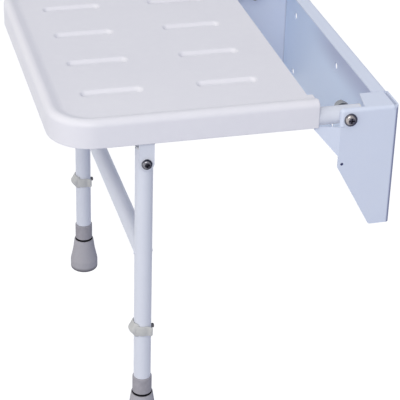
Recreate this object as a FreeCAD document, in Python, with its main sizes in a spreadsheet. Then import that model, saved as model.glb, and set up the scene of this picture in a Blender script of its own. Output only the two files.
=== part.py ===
"""Fold-up wall shower seat with drop-down, height-adjustable legs.

Lengths are millimetres. The wall is the plane y = 0, the seat reaches to -Y, +X is the
right-hand side of somebody sitting down and +Z is up. The origin is the centre of the
six wall holes.
"""
import FreeCAD, Part
import os
import re
import Sketcher

# Sizes: a number drives the shape, a formula follows from the others
SIZES = [
    ("tube_r", "11.1", "outer radius of the frame and leg tubes"),
    ("tube_wall", "1.5", "wall of every steel tube"),
    ("tube_bore_r", "=tube_r - tube_wall", "bore of the frame and leg tubes"),
    ("weld_gap", "0.05", "root gap at a welded or pushed-in joint"),
    ("run_gap", "0.05", "radial play of a turning fit"),
    ("free_gap", "0.3", "gap between faces that move past each other"),
    ("panel_z", "100", "flat top of the seat above the centre of the wall holes"),
    ("zero_y", "0", "wall plane"),

    ("gauge", "2", "sheet thickness of the wall bracket"),
    ("bend_r", "5", "outer radius of the bracket's bends"),
    ("bend_inner_r", "=bend_r - gauge", "inner radius of the bracket's bends"),
    ("relief", "1", "gap left between neighbouring flanges"),
    ("slit", "0.6", "slit sawn at the end of a bend"),
    ("slit_deep", "=bend_r + relief", "depth of a slit"),
    ("bracket_half", "226.5", "half width over the cheeks"),
    ("cheek_inner_x", "=bracket_half - gauge", "inner face of a cheek"),
    ("bracket_drop", "8.6", "top of the bracket below the seat top"),
    ("bracket_height", "163.9", "height of the back plate"),
    ("bracket_top_z", "=panel_z - bracket_drop", "top of the bracket"),
    ("bracket_bottom_z", "=bracket_top_z - bracket_height", "bottom of the bracket"),
    ("flange_under_z", "=bracket_top_z - gauge", "underside of the top flanges"),
    ("plate_front_y", "=-gauge", "front face of the back plate"),
    ("flange_reach", "20.5", "depth of the long top flange"),
    ("flange_y", "=-flange_reach", "front edge of the long top flange"),
    ("flange_inset", "43", "end of the flange from a cheek's outside"),
    ("flange_half", "=bracket_half - flange_inset", "half length of the long top flange"),
    ("tab_inner_x", "=flange_half + relief", "inboard edge of an end tab"),
    ("slit_back_y", "=-bend_r - slit", "back side of the slit behind an end tab"),
    ("tab_back_y", "=slit_back_y - slit", "back edge of an end tab"),
    ("tab_front_in_y", "-37", "front edge of an end tab, inboard"),
    ("tab_front_out_y", "-43", "front edge of an end tab, outboard"),
    ("lip_width", "5.4", "width of the rolled lips on a cheek's edges"),
    ("lip_x", "=bracket_half - lip_width", "inboard edge of the lips"),
    ("cheek_front_y", "-75", "front edge of a cheek"),
    ("front_lip_back_y", "=cheek_front_y + gauge", "back face of the front lip"),
    ("slit_out_x", "=bracket_half + relief", "outer end of the slits"),
    ("lip_bend_r", "4.4", "outer radius of the rolled edges of a cheek"),
    ("lip_bend_inner_r", "0.8", "inner radius of the front lip"),
    ("lip_slit_deep", "=lip_bend_r + relief", "depth of the slit under the front lip"),
    ("slit_low_z", "=bracket_top_z - bend_r - relief", "bottom of the slits in the back plate"),
    ("knee_drop", "78.4", "top of a cheek to its knee"),
    ("cheek_knee_z", "=bracket_top_z - knee_drop", "where the front edge turns into the slant"),
    ("cheek_foot_y", "-28", "where the slant meets the bottom edge"),
    ("cheek_corner_r", "4", "rounding of the cheek's lower corners"),
    ("tongue_drop", "9.7", "stop edge of the tongue below the hinge"),
    ("tongue_top_z", "=hinge_z - tongue_drop", "stop edge of the tongue"),
    ("front_lip_low_z", "=tongue_top_z + slit", "bottom of the front lip"),
    ("tongue_high", "40.1", "length of the tongue's bend line"),
    ("tongue_low_z", "=tongue_top_z - tongue_high", "lower end of the tongue's bend line"),
    ("tongue_root_y", "=cheek_front_y + bend_r", "back end of the tongue, inside the cheek"),
    ("tongue_bend_y", "=cheek_front_y + relief", "bend line of the tongue"),
    ("tongue_long", "31", "tongue beyond the cheek"),
    ("tongue_tip_y", "=cheek_front_y - tongue_long", "tip of the tongue"),
    ("tongue_tip_high", "3.6", "blunt end of the tongue"),
    ("tongue_tip_z", "=tongue_top_z - tongue_tip_high", "lower corner of the tongue's blunt tip"),
    ("tongue_set", "9.1", "set of the tongue's tip inwards"),
    ("tongue_inner_x", "=cheek_inner_x - tongue_set", "inner face of the tongue at its tip"),
    ("tongue_outer_x", "=tongue_inner_x + gauge", "outer face of the tongue at its tip"),
    ("tongue_trim_y", "=tongue_tip_y - bend_r", "front of the cut that shapes the tongue"),
    ("tongue_trim_z", "=tongue_low_z - bend_r", "bottom of the cut that shapes the tongue"),
    ("bracket_span", "=2 * bracket_half + bend_r", "cut length across the whole bracket"),
    ("wall_hole_r", "5", "wall fixing hole"),
    ("wall_hole_inset", "46.5", "outer wall holes from a cheek's outside"),
    ("wall_hole_x", "=bracket_half - wall_hole_inset", "outer wall holes from the middle"),
    ("wall_hole_margin", "28.5", "lower wall holes above the bottom edge"),
    ("wall_hole_z", "=-bracket_bottom_z - wall_hole_margin", "rows of wall holes from the centre"),
    ("gauge_hole_r", "2", "small tooling hole in a cheek"),
    ("gauge_hole_inset", "5.4", "tooling hole from the front edge"),
    ("gauge_hole_y", "=cheek_front_y + gauge_hole_inset", "tooling hole from the wall"),
    ("gauge_hole_rise", "4.2", "tooling hole above the knee"),
    ("gauge_hole_z", "=cheek_knee_z + gauge_hole_rise", "tooling hole height"),

    ("frame_drop", "22.2", "axis of the seat frame below the seat top"),
    ("hinge_z", "=panel_z - frame_drop", "hinge axis height, also the frame's"),
    ("hinge_inset", "12.4", "hinge axis from the cheek's front edge"),
    ("hinge_y", "=cheek_front_y + hinge_inset", "hinge axis from the wall"),
    ("hinge_bolt_r", "5", "hinge bolt shank"),
    ("hinge_hole_r", "=hinge_bolt_r + run_gap", "hole for the hinge bolt"),
    ("hinge_head_r", "8.1", "hinge bolt head"),
    ("hinge_head_deep", "5", "height of the hinge bolt head"),
    ("hinge_head_x", "=bracket_half + hinge_head_deep", "outer face of the bolt head"),
    ("hinge_dome_r", "3.4", "rounding of the bolt head"),
    ("hinge_bolt_r_slit_half", "0.9", "half width of the cross recess"),
    ("hinge_bolt_r_slit_arm", "3.6", "arm of the cross recess"),
    ("hinge_bolt_r_slit_deep", "2.8", "depth of the cross recess"),
    ("hinge_bolt_over", "1.5", "bolt beyond its nut"),
    ("hinge_bolt_end_x", "=hinge_collar_x - hinge_bolt_over", "inboard end of the hinge bolt"),
    ("hinge_bush_r", "6.5", "outer radius of the hinge bush"),
    ("hinge_bush_hole_r", "=hinge_bush_r + weld_gap", "cross hole for the hinge bush"),
    ("hinge_bush_over", "0.5", "bush standing out of the tube at each side"),
    ("hinge_bush_in_x", "=frame_x - tube_r - hinge_bush_over", "inboard end of the bush"),
    ("hinge_bush_out_x", "=frame_x + tube_r + hinge_bush_over", "outboard end of the bush"),
    ("hinge_bush_long", "=hinge_bush_out_x - hinge_bush_in_x", "length of the hinge bush"),
    ("spacer_r", "7.2", "nylon spacer beside the cheek"),
    ("spacer_in_x", "=hinge_bush_out_x + free_gap", "inboard face of the spacer"),
    ("spacer_long", "=cheek_inner_x - spacer_in_x", "thickness of the spacer"),
    ("hinge_washer_r", "9", "washer under the hinge nut"),
    ("washer_thick", "1.6", "thickness of the washers"),
    ("hinge_washer_x", "=hinge_bush_in_x - free_gap - washer_thick", "inboard face of the washer"),
    ("hinge_nut_across_r", "9.2", "corner radius of the hinge nut"),
    ("hinge_nut_hex", "7.4", "hexagon part of the hinge nut"),
    ("hinge_nut_collar", "2.6", "round locking collar of the hinge nut"),
    ("hinge_collar_r", "7.4", "radius of the locking collar"),
    ("hinge_nut_x", "=hinge_washer_x - hinge_nut_hex", "inboard face of the hexagon"),
    ("hinge_collar_x", "=hinge_nut_x - hinge_nut_collar", "inboard face of the collar"),
    ("hinge_nut_long", "=hinge_nut_hex + hinge_nut_collar", "whole length of the hinge nut"),

    ("frame_set", "15.5", "axis of a side tube from the cheek's inside"),
    ("frame_x", "=cheek_inner_x - frame_set", "axis of a side tube"),
    ("frame_front_inset", "14", "axis of the front tube from the seat's edge"),
    ("frame_front_y", "=shell_front_y + frame_front_inset", "axis of the front tube"),
    ("frame_bend_r", "43", "bend radius of the seat frame"),
    ("frame_tail", "15.6", "side tube behind the hinge axis"),
    ("frame_end_y", "=hinge_y + frame_tail", "back end of a side tube"),
    ("frame_path_out", "=-frame_end_y", "back end of a side tube from the wall"),
    ("rear_tube_inset", "36", "rear cross tube from the seat's back edge"),
    ("rear_tube_y", "=shell_back_y - rear_tube_inset", "axis of the rear cross tube"),
    ("cope_r", "=tube_r + weld_gap", "coped end fitted round a tube"),
    ("rear_tube_long", "=2 * frame_x", "rear cross tube before coping"),
    ("rear_cope_y", "=rear_tube_y - drill_long / 2", "start of the cope at the rear tube"),
    ("plug_cap", "2", "thickness of a tube plug's cap"),
    ("plug_cap_step", "0.2", "plug cap inside the tube's outline"),
    ("plug_cap_r", "=tube_r - plug_cap_step", "radius of a tube plug's cap"),
    ("plug_stub_r", "=tube_bore_r - weld_gap", "stub of a tube plug"),
    ("plug_stub_long", "7", "length of the stub"),
    ("plug_long", "=plug_cap + plug_stub_long", "whole length of a tube plug"),
    ("plug_cup_r", "7.6", "hollow of the stub"),
    ("frame_plug_y", "=frame_end_y + plug_cap", "back face of a frame plug"),

    ("shell_overhang", "14", "seat beyond the axis of a side tube"),
    ("shell_half", "=frame_x + shell_overhang", "half width of the seat"),
    ("shell_front_y", "-428", "front edge of the seat"),
    ("shell_back_set", "46.4", "back edge of the seat from the hinge axis"),
    ("shell_back_y", "=hinge_y - shell_back_set", "back edge between the arms"),
    ("arm_reach", "8.2", "arm behind the back edge"),
    ("arm_back_y", "=shell_back_y + arm_reach", "back end of an arm"),
    ("arm_width", "30", "width of an arm"),
    ("arm_inner_x", "=shell_half - arm_width", "inboard face of an arm"),
    ("shell_corner_r", "54", "front corner of the seat"),
    ("shell_wall", "2.6", "wall of the moulding"),
    ("skirt_drop", "32", "bottom of the skirt below the seat top"),
    ("skirt_z", "=panel_z - skirt_drop", "bottom of the skirt"),
    ("panel_thick", "4.5", "thickness of the top panel"),
    ("panel_under_z", "=panel_z - panel_thick", "underside of the top panel"),
    ("cavity_deep", "=skirt_drop - panel_thick", "hollow under the panel"),
    ("cavity_half", "=shell_half - shell_wall", "inside of the skirt"),
    ("cavity_front_y", "=shell_front_y + shell_wall", "inside of the front skirt"),
    ("cavity_back_y", "=shell_back_y - shell_wall", "inside of the back skirt"),
    ("cavity_arm_x", "=arm_inner_x + shell_wall", "inside of an arm's inner wall"),
    ("cavity_open_y", "=arm_back_y + shell_wall", "cut past the open end of an arm"),
    ("cavity_corner_r", "=shell_corner_r - shell_wall", "inside of the front corner"),
    ("rim_width", "10", "raised rim from its outer edge to its crest's inner side"),
    ("rim_slope_angle", "68", "lean of the rim's inner slope from upright"),
    ("rim_rise", "3.7", "rim above the panel"),
    ("rim_top_z", "=panel_z + rim_rise", "top of the rim"),
    ("rim_inner_x", "=shell_half - rim_width", "inboard edge of the side rim"),
    ("rim_inner_y", "=shell_front_y + rim_width", "back edge of the front rim"),
    ("rim_corner_r", "=shell_corner_r - rim_width", "inner corner of the rim"),
    ("rim_outer_round_r", "8", "roll of the rim's outer edge"),
    ("rim_foot_round_r", "16", "foot of the slope, run into the panel"),
    ("rim_inner_round_r", "8", "soft inner shoulder of the rim"),
    ("rim_open_y", "=arm_back_y + skirt_drop", "cut past the back of the seat"),
    ("shell_height", "=skirt_drop + rim_rise", "skirt to the top of the rim"),
    ("arm_end_round_r", "2.2", "eased back end of an arm"),
    ("skirt_round_r", "1.2", "eased bottom edge of the skirt"),
    ("groove_pitch", "91", "spacing of the drain grooves across the seat"),
    ("groove_half", "9", "half width of a groove"),
    ("groove_long", "78", "length of a groove"),
    ("groove_slope_angle", "48", "lean of a groove's walls from upright"),
    ("groove_deep", "4", "depth of a groove"),
    ("groove_end_r", "8", "rounded ends of a groove"),
    ("groove_round_r", "5", "rounded floor of a groove"),
    ("groove_edge_r", "4.4", "eased top edge of a groove"),
    ("groove_floor_z", "=panel_z - groove_deep", "floor of a groove"),
    ("groove_back_deep", "3", "raised back of a groove under the panel"),
    ("groove_back_in_low_x", "=groove_in_low_x - relief", "back of the inner grooves, near edge"),
    ("groove_back_in_high_x", "=groove_in_high_x + relief", "back of the inner grooves, far edge"),
    ("groove_back_out_low_x", "=groove_out_low_x - relief", "back of the outer grooves, near edge"),
    ("groove_back_out_high_x", "=groove_out_high_x + relief", "back of the outer grooves, far edge"),
    ("groove_in_low_x", "=groove_pitch / 2 - groove_half", "inner row, near edge"),
    ("groove_in_high_x", "=groove_pitch / 2 + groove_half", "inner row, far edge"),
    ("groove_out_low_x", "=groove_in_low_x + groove_pitch", "outer row, near edge"),
    ("groove_out_high_x", "=groove_in_high_x + groove_pitch", "outer row, far edge"),
    ("groove_front_inset", "87.2", "front grooves from the front edge"),
    ("groove_front_y", "=shell_front_y + groove_front_inset", "middle of the front grooves"),
    ("groove_back_inset", "86.1", "back grooves from the back edge"),
    ("groove_back_y", "=shell_back_y - groove_back_inset", "middle of the back grooves"),
    ("groove_front_low_y", "=groove_front_y - groove_long / 2", "front end, front grooves"),
    ("groove_front_high_y", "=groove_front_y + groove_long / 2", "back end, front grooves"),
    ("groove_back_low_y", "=groove_back_y - groove_long / 2", "front end, back grooves"),
    ("groove_back_high_y", "=groove_back_y + groove_long / 2", "back end, back grooves"),
    ("rib_half", "1", "half thickness of a rib"),
    ("rib_deep", "3.4", "depth of the ribs under the panel"),
    ("rib_mid_high_x", "=rib_half", "middle rib, right face"),
    ("rib_mid_low_x", "=-rib_half", "middle rib, left face"),
    ("rib_out_low_x", "=groove_pitch - rib_half", "outer rib, near face"),
    ("rib_out_high_x", "=groove_pitch + rib_half", "outer rib, far face"),
    ("rib_cross_y", "=(groove_front_y + groove_back_y) / 2", "middle cross rib"),
    ("rib_cross_low_y", "=rib_cross_y - rib_half", "cross rib, front face"),
    ("rib_cross_high_y", "=rib_cross_y + rib_half", "cross rib, back face"),
    ("rib_rear_low_y", "=rear_tube_y - rib_half", "rear rib, front face"),
    ("rib_rear_high_y", "=rear_tube_y + rib_half", "rear rib, back face"),
    ("rib_back_y", "=cavity_back_y + rib_half", "back end of the ribs, in the skirt"),
    ("rib_front_y", "=cavity_front_y - rib_half", "front end of the ribs, in the skirt"),
    ("rib_side_x", "=cavity_half + rib_half", "side end of the ribs, in the skirt"),
    ("boss_r", "6", "screw boss under the panel"),
    ("boss_end_z", "=hinge_z + tube_r + weld_gap", "boss end resting on the tube"),
    ("boss_deep", "=panel_under_z - boss_end_z", "length of a boss"),
    ("screw_r", "2.4", "seat screw shank"),
    ("screw_hole_r", "=screw_r + weld_gap", "pilot hole for a seat screw"),
    ("screw_pass_r", "2.7", "clearance hole through the tube"),
    ("screw_head_r", "4.6", "seat screw head"),
    ("screw_head_deep", "3.2", "height of the seat screw head"),
    ("screw_head_z", "=hinge_z - tube_r - weld_gap", "head seat under the tube"),
    ("screw_low_z", "=screw_head_z - screw_head_deep", "bottom of the screw head"),
    ("screw_top_z", "=panel_under_z + rib_half", "tip of a seat screw"),
    ("screw_long", "=screw_top_z - screw_head_z", "shank length of a seat screw"),
    ("pilot_deep", "=screw_top_z + rib_half - boss_end_z", "depth of a pilot hole"),
    ("screw_back_inset", "81", "back screws from the back edge"),
    ("screw_back_y", "=shell_back_y - screw_back_inset", "back pair of seat screws"),
    ("screw_front_inset", "76", "front side screws from the front edge"),
    ("screw_front_y", "=shell_front_y + screw_front_inset", "front pair of seat screws on the side tubes"),
    ("screw_mid_inset", "99", "screws on the front tube from a side tube"),
    ("screw_mid_x", "=frame_x - screw_mid_inset", "seat screws on the front tube"),

    ("leg_set", "6.7", "leg inboard of the side tube"),
    ("leg_x", "=frame_x - leg_set", "axis of a leg"),
    ("leg_inset", "113.5", "legs from the front edge"),
    ("leg_y", "=shell_front_y + leg_inset", "legs from the wall"),
    ("leg_out", "=-leg_y", "legs from the wall, as an offset"),
    ("leg_pivot_drop", "61.2", "leg pivot below the seat top"),
    ("leg_pivot_z", "=panel_z - leg_pivot_drop", "leg pivot height"),
    ("leg_head", "16.2", "leg tube above its pivot"),
    ("leg_top_z", "=leg_pivot_z + leg_head", "top of a leg tube"),
    ("leg_drop", "317.6", "leg tube below its pivot"),
    ("leg_bottom_z", "=leg_pivot_z - leg_drop", "bottom of a leg tube"),
    ("leg_long", "=leg_top_z - leg_bottom_z", "length of a leg tube"),
    ("leg_plug_z", "=leg_top_z + plug_cap", "top of a leg plug"),
    ("crossbar_drop", "130.4", "crossbar below the pivot"),
    ("crossbar_z", "=leg_pivot_z - crossbar_drop", "axis of the crossbar"),
    ("crossbar_long", "=2 * leg_x", "crossbar before coping"),
    ("bar_cope_z", "=crossbar_z - drill_long / 2", "start of the cope at the crossbar"),
    ("leg_drill_x", "=leg_x - drill_long / 2", "start of the drill along a leg bolt"),
    ("leg_bolt_r", "4", "leg bolt shank"),
    ("leg_hole_r", "=leg_bolt_r + run_gap", "hole for the leg bolt"),
    ("leg_head_r", "6.5", "leg bolt head"),
    ("leg_head_deep", "4.4", "height of the leg bolt head"),
    ("leg_dome_r", "2.8", "rounding of the leg bolt head"),
    ("leg_bolt_r_slit_half", "0.8", "half width of the cross recess"),
    ("leg_bolt_r_slit_arm", "2.9", "arm of the cross recess"),
    ("leg_bolt_r_slit_deep", "2.4", "depth of the cross recess"),
    ("leg_bush_r", "5.5", "outer radius of the leg bush"),
    ("leg_bush_hole_r", "=leg_bush_r + weld_gap", "cross hole for the leg bush"),
    ("leg_bush_over", "0.6", "leg bush standing out of the tube"),
    ("leg_bush_in_x", "=leg_x - tube_r - leg_bush_over", "inboard end of the leg bush"),
    ("leg_bush_out_x", "=leg_x + tube_r + leg_bush_over", "outboard end of the leg bush"),
    ("leg_bush_long", "=leg_bush_out_x - leg_bush_in_x", "length of the leg bush"),
    ("leg_tab_thick", "3", "thickness of a leg tab"),
    ("leg_tab_x", "=leg_bush_out_x + free_gap", "inboard face of a leg tab"),
    ("leg_tab_out_x", "=leg_tab_x + leg_tab_thick", "outboard face of a leg tab"),
    ("leg_tab_half", "9.5", "half width and end radius of a leg tab"),
    ("leg_tab_high", "34", "leg tab before coping, above the pivot"),
    ("leg_tab_wide", "=2 * leg_tab_half", "width of a leg tab"),
    ("leg_tab_front_y", "=leg_y - leg_tab_half", "front edge of a leg tab"),
    ("leg_tab_cope_long", "=2 * leg_tab_wide", "cope across a leg tab"),
    ("leg_tab_cope_y", "=leg_y - leg_tab_wide", "start of the cope across a leg tab"),
    ("leg_head_x", "=leg_tab_out_x + leg_head_deep", "outer face of the leg bolt head"),
    ("leg_washer_r", "8", "washer under the leg nut"),
    ("leg_washer_x", "=leg_bush_in_x - free_gap - washer_thick", "inboard face of the washer"),
    ("leg_nut_across_r", "7.5", "corner radius of the leg nut"),
    ("leg_nut_hex", "6", "hexagon part of the leg nut"),
    ("leg_nut_collar", "2", "round locking collar of the leg nut"),
    ("leg_collar_r", "5.9", "radius of the leg nut's collar"),
    ("leg_nut_x", "=leg_washer_x - leg_nut_hex", "inboard face of the hexagon"),
    ("leg_collar_x", "=leg_nut_x - leg_nut_collar", "inboard face of the collar"),
    ("leg_nut_long", "=leg_nut_hex + leg_nut_collar", "whole length of the leg nut"),
    ("leg_bolt_end_x", "=leg_collar_x - relief", "inboard end of the leg bolt"),

    ("slide_gap", "0.075", "radial play of the inner tube in the leg"),
    ("inner_r", "=tube_bore_r - slide_gap", "outer radius of the inner tube"),
    ("inner_bore_r", "=inner_r - tube_wall", "bore of the inner tube"),
    ("inner_top_z", "=inner_bottom_z + inner_long", "top of the inner tube"),
    ("inner_out", "65.2", "inner tube below the leg tube"),
    ("inner_bottom_z", "=leg_bottom_z - inner_out", "bottom of the inner tube"),
    ("inner_long", "304", "length of the inner tube"),
    ("pin_rise", "75.2", "pin above the bottom of the leg tube"),
    ("pin_z", "=leg_bottom_z + pin_rise", "height-setting pin"),
    ("pin_pitch", "25", "pitch of the height holes"),
    ("pin_r", "3", "height-setting pin"),
    ("pin_run_gap", "0.08", "play of the pin in the leg tube"),
    ("pin_hole_r", "=pin_r + pin_run_gap", "pin hole in the leg tube"),
    ("height_hole_r", "=pin_r + free_gap", "height hole in the inner tube"),
    ("pin_back_reach", "14.8", "pin tip behind the leg axis"),
    ("pin_front_reach", "14.5", "pin's seated end in front of the leg axis"),
    ("pin_tip_y", "=leg_y + pin_back_reach", "tip of the pin"),
    ("pin_seat_y", "=leg_y - pin_front_reach", "seated end of the pin"),
    ("pin_tip_round_r", "1.2", "rounded tip of the pin"),
    ("drill_long", "=3 * tube_r", "drill length through a tube"),
    ("drill_y", "=leg_y - drill_long / 2", "start of a drill through a leg"),

    ("clip_inner_r", "=tube_r + free_gap", "saddle of the clip round the leg"),
    ("clip_wall", "2.8", "thickness of the clip's band"),
    ("clip_half", "=clip_inner_r + clip_wall", "half width over the band"),
    ("clip_left_x", "=leg_x - clip_half", "inboard side of the band"),
    ("clip_right_x", "=leg_x + clip_half", "outboard side of the band"),
    ("clip_slot_left_x", "=leg_x - clip_inner_r", "inboard side of the saddle"),
    ("clip_slot_right_x", "=leg_x + clip_inner_r", "outboard side of the saddle"),
    ("clip_arm_reach", "9", "arms behind the leg axis"),
    ("clip_arm_y", "=leg_y + clip_arm_reach", "back end of the arms"),
    ("clip_slot_y", "=clip_arm_y + clip_wall", "cut past the ends of the arms"),
    ("clip_front_y", "=leg_y - clip_half", "front of the band"),
    ("clip_corner_r", "9", "rounded front corners of the band"),
    ("clip_band_half", "6.4", "half height of the band"),
    ("clip_band_z", "=pin_z - clip_band_half", "bottom of the band"),
    ("clip_band_high", "=2 * clip_band_half", "height of the band"),
    ("clip_head_half", "10.4", "half height of the thumb wedge"),
    ("clip_head_top_z", "=pin_z + clip_head_half", "top of the wedge"),
    ("clip_head_low_z", "=pin_z - clip_head_half", "bottom of the wedge"),
    ("clip_head_root_y", "=leg_y - tube_r / 2", "wedge root, cut back by the saddle"),
    ("clip_head_face_y", "=leg_y - clip_inner_r - relief", "outer step of the wedge"),
    ("clip_tip_reach", "18.4", "wedge tip in front of the leg axis"),
    ("clip_tip_y", "=leg_y - clip_tip_reach", "wedge tip"),
    ("clip_tip_drop", "2.6", "wedge tip below the pin"),
    ("clip_tip_half", "1.4", "half height of the wedge tip"),
    ("clip_tip_top_z", "=pin_z - clip_tip_drop + clip_tip_half", "upper edge of the tip"),
    ("clip_tip_low_z", "=pin_z - clip_tip_drop - clip_tip_half", "lower edge of the tip"),
    ("clip_head_width", "20", "width of the wedge"),
    ("clip_pin_hole_r", "=pin_r + weld_gap", "seat of the pin in the clip"),

    ("ferrule_gap", "0.3", "ferrule below the end of the leg tube"),
    ("ferrule_top_z", "=leg_bottom_z - ferrule_gap", "top of the ferrule"),
    ("ferrule_bore_r", "=inner_r + weld_gap", "bore of the ferrule"),
    ("neck_r", "12.6", "neck of the ferrule"),
    ("neck_long", "22.9", "length of the neck"),
    ("neck_low_z", "=ferrule_top_z - neck_long", "bottom of the neck"),
    ("ring_r", "10.6", "ring groove under the neck"),
    ("ring_high", "3", "height of the ring groove"),
    ("bell_top_z", "=neck_low_z - ring_high", "top of the bell"),
    ("bell_top_r", "14.2", "bell at its top"),
    ("bell_top_high", "17", "upper part of the bell"),
    ("bell_mid_z", "=bell_top_z - bell_top_high", "where the bell widens"),
    ("bell_mid_r", "16.6", "bell where it widens"),
    ("bell_mid_high", "18", "flared part of the bell"),
    ("bell_low_z", "=bell_mid_z - bell_mid_high", "widest part of the bell"),
    ("bell_r", "20.4", "foot of the bell"),
    ("sole_thick", "12", "rubber under the inner tube"),
    ("foot_z", "=inner_bottom_z - sole_thick", "floor"),
    ("foot_round_r", "4", "rounding of the foot"),
    ("neck_round_r", "1", "rounding at the top of the neck"),
    ("disc_thick", "1.8", "steel disc under the inner tube"),
    ("disc_z", "=inner_bottom_z - disc_thick", "underside of the steel disc"),
    ("disc_r", "=inner_r - weld_gap", "radius of the steel disc"),
    ("disc_hole_r", "3", "hole of the steel disc"),
]

doc = FreeCAD.newDocument("shower_seat")
sheet = doc.addObject("Spreadsheet::Sheet", "Sizes")
for row, (name, text, note) in enumerate(SIZES, start=1):
    sheet.set(f"A{row}", name)
    sheet.set(f"B{row}", text)
    sheet.set(f"C{row}", note)
    sheet.setAlias(f"B{row}", name)
doc.recompute()

PLANES = {"plan": "XY_Plane", "front": "XZ_Plane", "side": "YZ_Plane"}
DIRECTIONS = {
    "x": FreeCAD.Vector(1, 0, 0),
    "y": FreeCAD.Vector(0, 1, 0),
    "z": FreeCAD.Vector(0, 0, 1),
}
pieces = {}


def size(name):
    """Value of a named size; a leading minus turns its sign."""
    if name == 0:
        return 0.0
    if name.startswith("-"):
        return -size(name[1:])
    return float(sheet.get(name))


def formula(text):
    """The same names written for an expression on another object."""
    return re.sub(r"[a-z][a-z0-9_]*", lambda word: "Sizes." + word.group(0), text)


def tie(thing, field, name):
    """Let a field of an object follow a named size."""
    if name != 0:
        thing.setExpression(field, formula(name))


# Sketches
def sketch_on(body, view, name, across=0, up=0, out=0):
    """Sketch on one of the body's own planes, moved by named sizes."""
    sketch = body.newObject("Sketcher::SketchObject", name)
    plane = [part for part in body.Origin.OriginFeatures if part.Role == PLANES[view]][0]
    sketch.AttachmentSupport = [(plane, "")]
    sketch.MapMode = "FlatFace"
    for letter, value in zip("xyz", (across, up, out)):
        tie(sketch, ".AttachmentOffset.Base." + letter, value)
    doc.recompute()
    return sketch


def pin_number(sketch, kind, item, end, name):
    """Hold one coordinate of a sketch point at a named size."""
    if size(name) == 0:
        axis = -2 if kind == "DistanceX" else -1
        sketch.addConstraint(Sketcher.Constraint("PointOnObject", item, end, axis))
        return
    number = sketch.addConstraint(Sketcher.Constraint(kind, -1, 1, item, end, size(name)))
    tie(sketch, f"Constraints[{number}]", name)


def draw_outline(sketch, points):
    """Closed loop of straight lines through named points."""
    first = sketch.GeometryCount
    count = len(points)
    spots = [FreeCAD.Vector(size(across), size(up), 0) for across, up in points]
    for index in range(count):
        line = Part.LineSegment(spots[index], spots[(index + 1) % count])
        sketch.addGeometry(line, False)
    for index, (across, up) in enumerate(points):
        after = first + (index + 1) % count
        sketch.addConstraint(Sketcher.Constraint("Coincident", first + index, 2, after, 1))
        pin_number(sketch, "DistanceX", first + index, 1, across)
        pin_number(sketch, "DistanceY", first + index, 1, up)


def draw_circle(sketch, radius, across=0, up=0):
    """Circle of a named radius about a named point."""
    centre = FreeCAD.Vector(size(across), size(up), 0)
    item = sketch.addGeometry(Part.Circle(centre, DIRECTIONS["z"], size(radius)), False)
    pin_number(sketch, "DistanceX", item, 3, across)
    pin_number(sketch, "DistanceY", item, 3, up)
    number = sketch.addConstraint(Sketcher.Constraint("Radius", item, size(radius)))
    tie(sketch, f"Constraints[{number}]", radius)


def draw_square_path(sketch, corners, closed=True):
    """Loop or open path of level and upright lines; a corner may carry a radius."""
    count = len(corners)
    spots = [FreeCAD.Vector(size(corner[0]), size(corner[1]), 0) for corner in corners]
    radii = [size(corner[2]) if len(corner) > 2 else 0.0 for corner in corners]
    steps = count if closed else count - 1
    lines = []
    for index in range(steps):
        after = (index + 1) % count
        way = (spots[after] - spots[index]).normalize()
        start = spots[index] + way * radii[index]
        end = spots[after] - way * radii[after]
        item = sketch.addGeometry(Part.LineSegment(start, end), False)
        lines.append((item, way))
        level = abs(way.y) < abs(way.x)
        sketch.addConstraint(Sketcher.Constraint("Horizontal" if level else "Vertical", item))
        kind, place = ("DistanceY", 1) if level else ("DistanceX", 0)
        pin_number(sketch, kind, item, 1, corners[index][place])
    turns = range(count) if closed else range(1, count - 1)
    for index in turns:
        before, way_in = lines[index - 1]
        after, way_out = lines[index % len(lines)]
        if radii[index] == 0:
            sketch.addConstraint(Sketcher.Constraint("Coincident", before, 2, after, 1))
            continue
        radius = radii[index]
        centre = spots[index] - way_in * radius + way_out * radius
        start = spots[index] - way_in * radius
        end = spots[index] + way_out * radius
        middle = centre + (spots[index] - centre).normalize() * radius
        arc = sketch.addGeometry(Part.Arc(start, middle, end), False)
        swapped = (sketch.getPoint(arc, 1) - start).Length > (sketch.getPoint(arc, 2) - start).Length
        first, last = (2, 1) if swapped else (1, 2)
        sketch.addConstraint(Sketcher.Constraint("Tangent", before, 2, arc, first))
        sketch.addConstraint(Sketcher.Constraint("Tangent", arc, last, after, 1))
        number = sketch.addConstraint(Sketcher.Constraint("Radius", arc, radius))
        tie(sketch, f"Constraints[{number}]", corners[index][2])
    if not closed:
        for item, end, corner, way in (
            (lines[0][0], 1, corners[0], lines[0][1]),
            (lines[-1][0], 2, corners[-1], lines[-1][1]),
        ):
            level = abs(way.y) < abs(way.x)
            kind, place = ("DistanceX", 0) if level else ("DistanceY", 1)
            pin_number(sketch, kind, item, end, corner[place])


# Features of a body
def new_body(name):
    """Empty body that becomes one piece."""
    body = doc.addObject("PartDesign::Body", name)
    return body


def pad(body, sketch, length, backwards=False):
    """Grow a sketch by a named length."""
    feature = body.newObject("PartDesign::Pad", sketch.Name + "_pad")
    feature.Profile = sketch
    feature.Reversed = backwards
    tie(feature, "Length", length)
    doc.recompute()
    return feature


def pad_both_ways(body, sketch, length):
    """Grow a sketch by a named length, half to each side."""
    feature = body.newObject("PartDesign::Pad", sketch.Name + "_pad")
    feature.Profile = sketch
    feature.SideType = "Symmetric"
    tie(feature, "Length", length)
    doc.recompute()
    return feature


def pocket(body, sketch, length, backwards=False, both_ways=False):
    """Cut a sketch out by a named length and see that something went."""
    before = body.Shape.Volume
    feature = body.newObject("PartDesign::Pocket", sketch.Name + "_pocket")
    feature.Profile = sketch
    feature.Reversed = backwards
    if both_ways:
        feature.SideType = "Symmetric"
    tie(feature, "Length", length)
    doc.recompute()
    if not body.Shape.Volume < before:
        raise RuntimeError(sketch.Name + " cuts nothing")
    return feature


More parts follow.
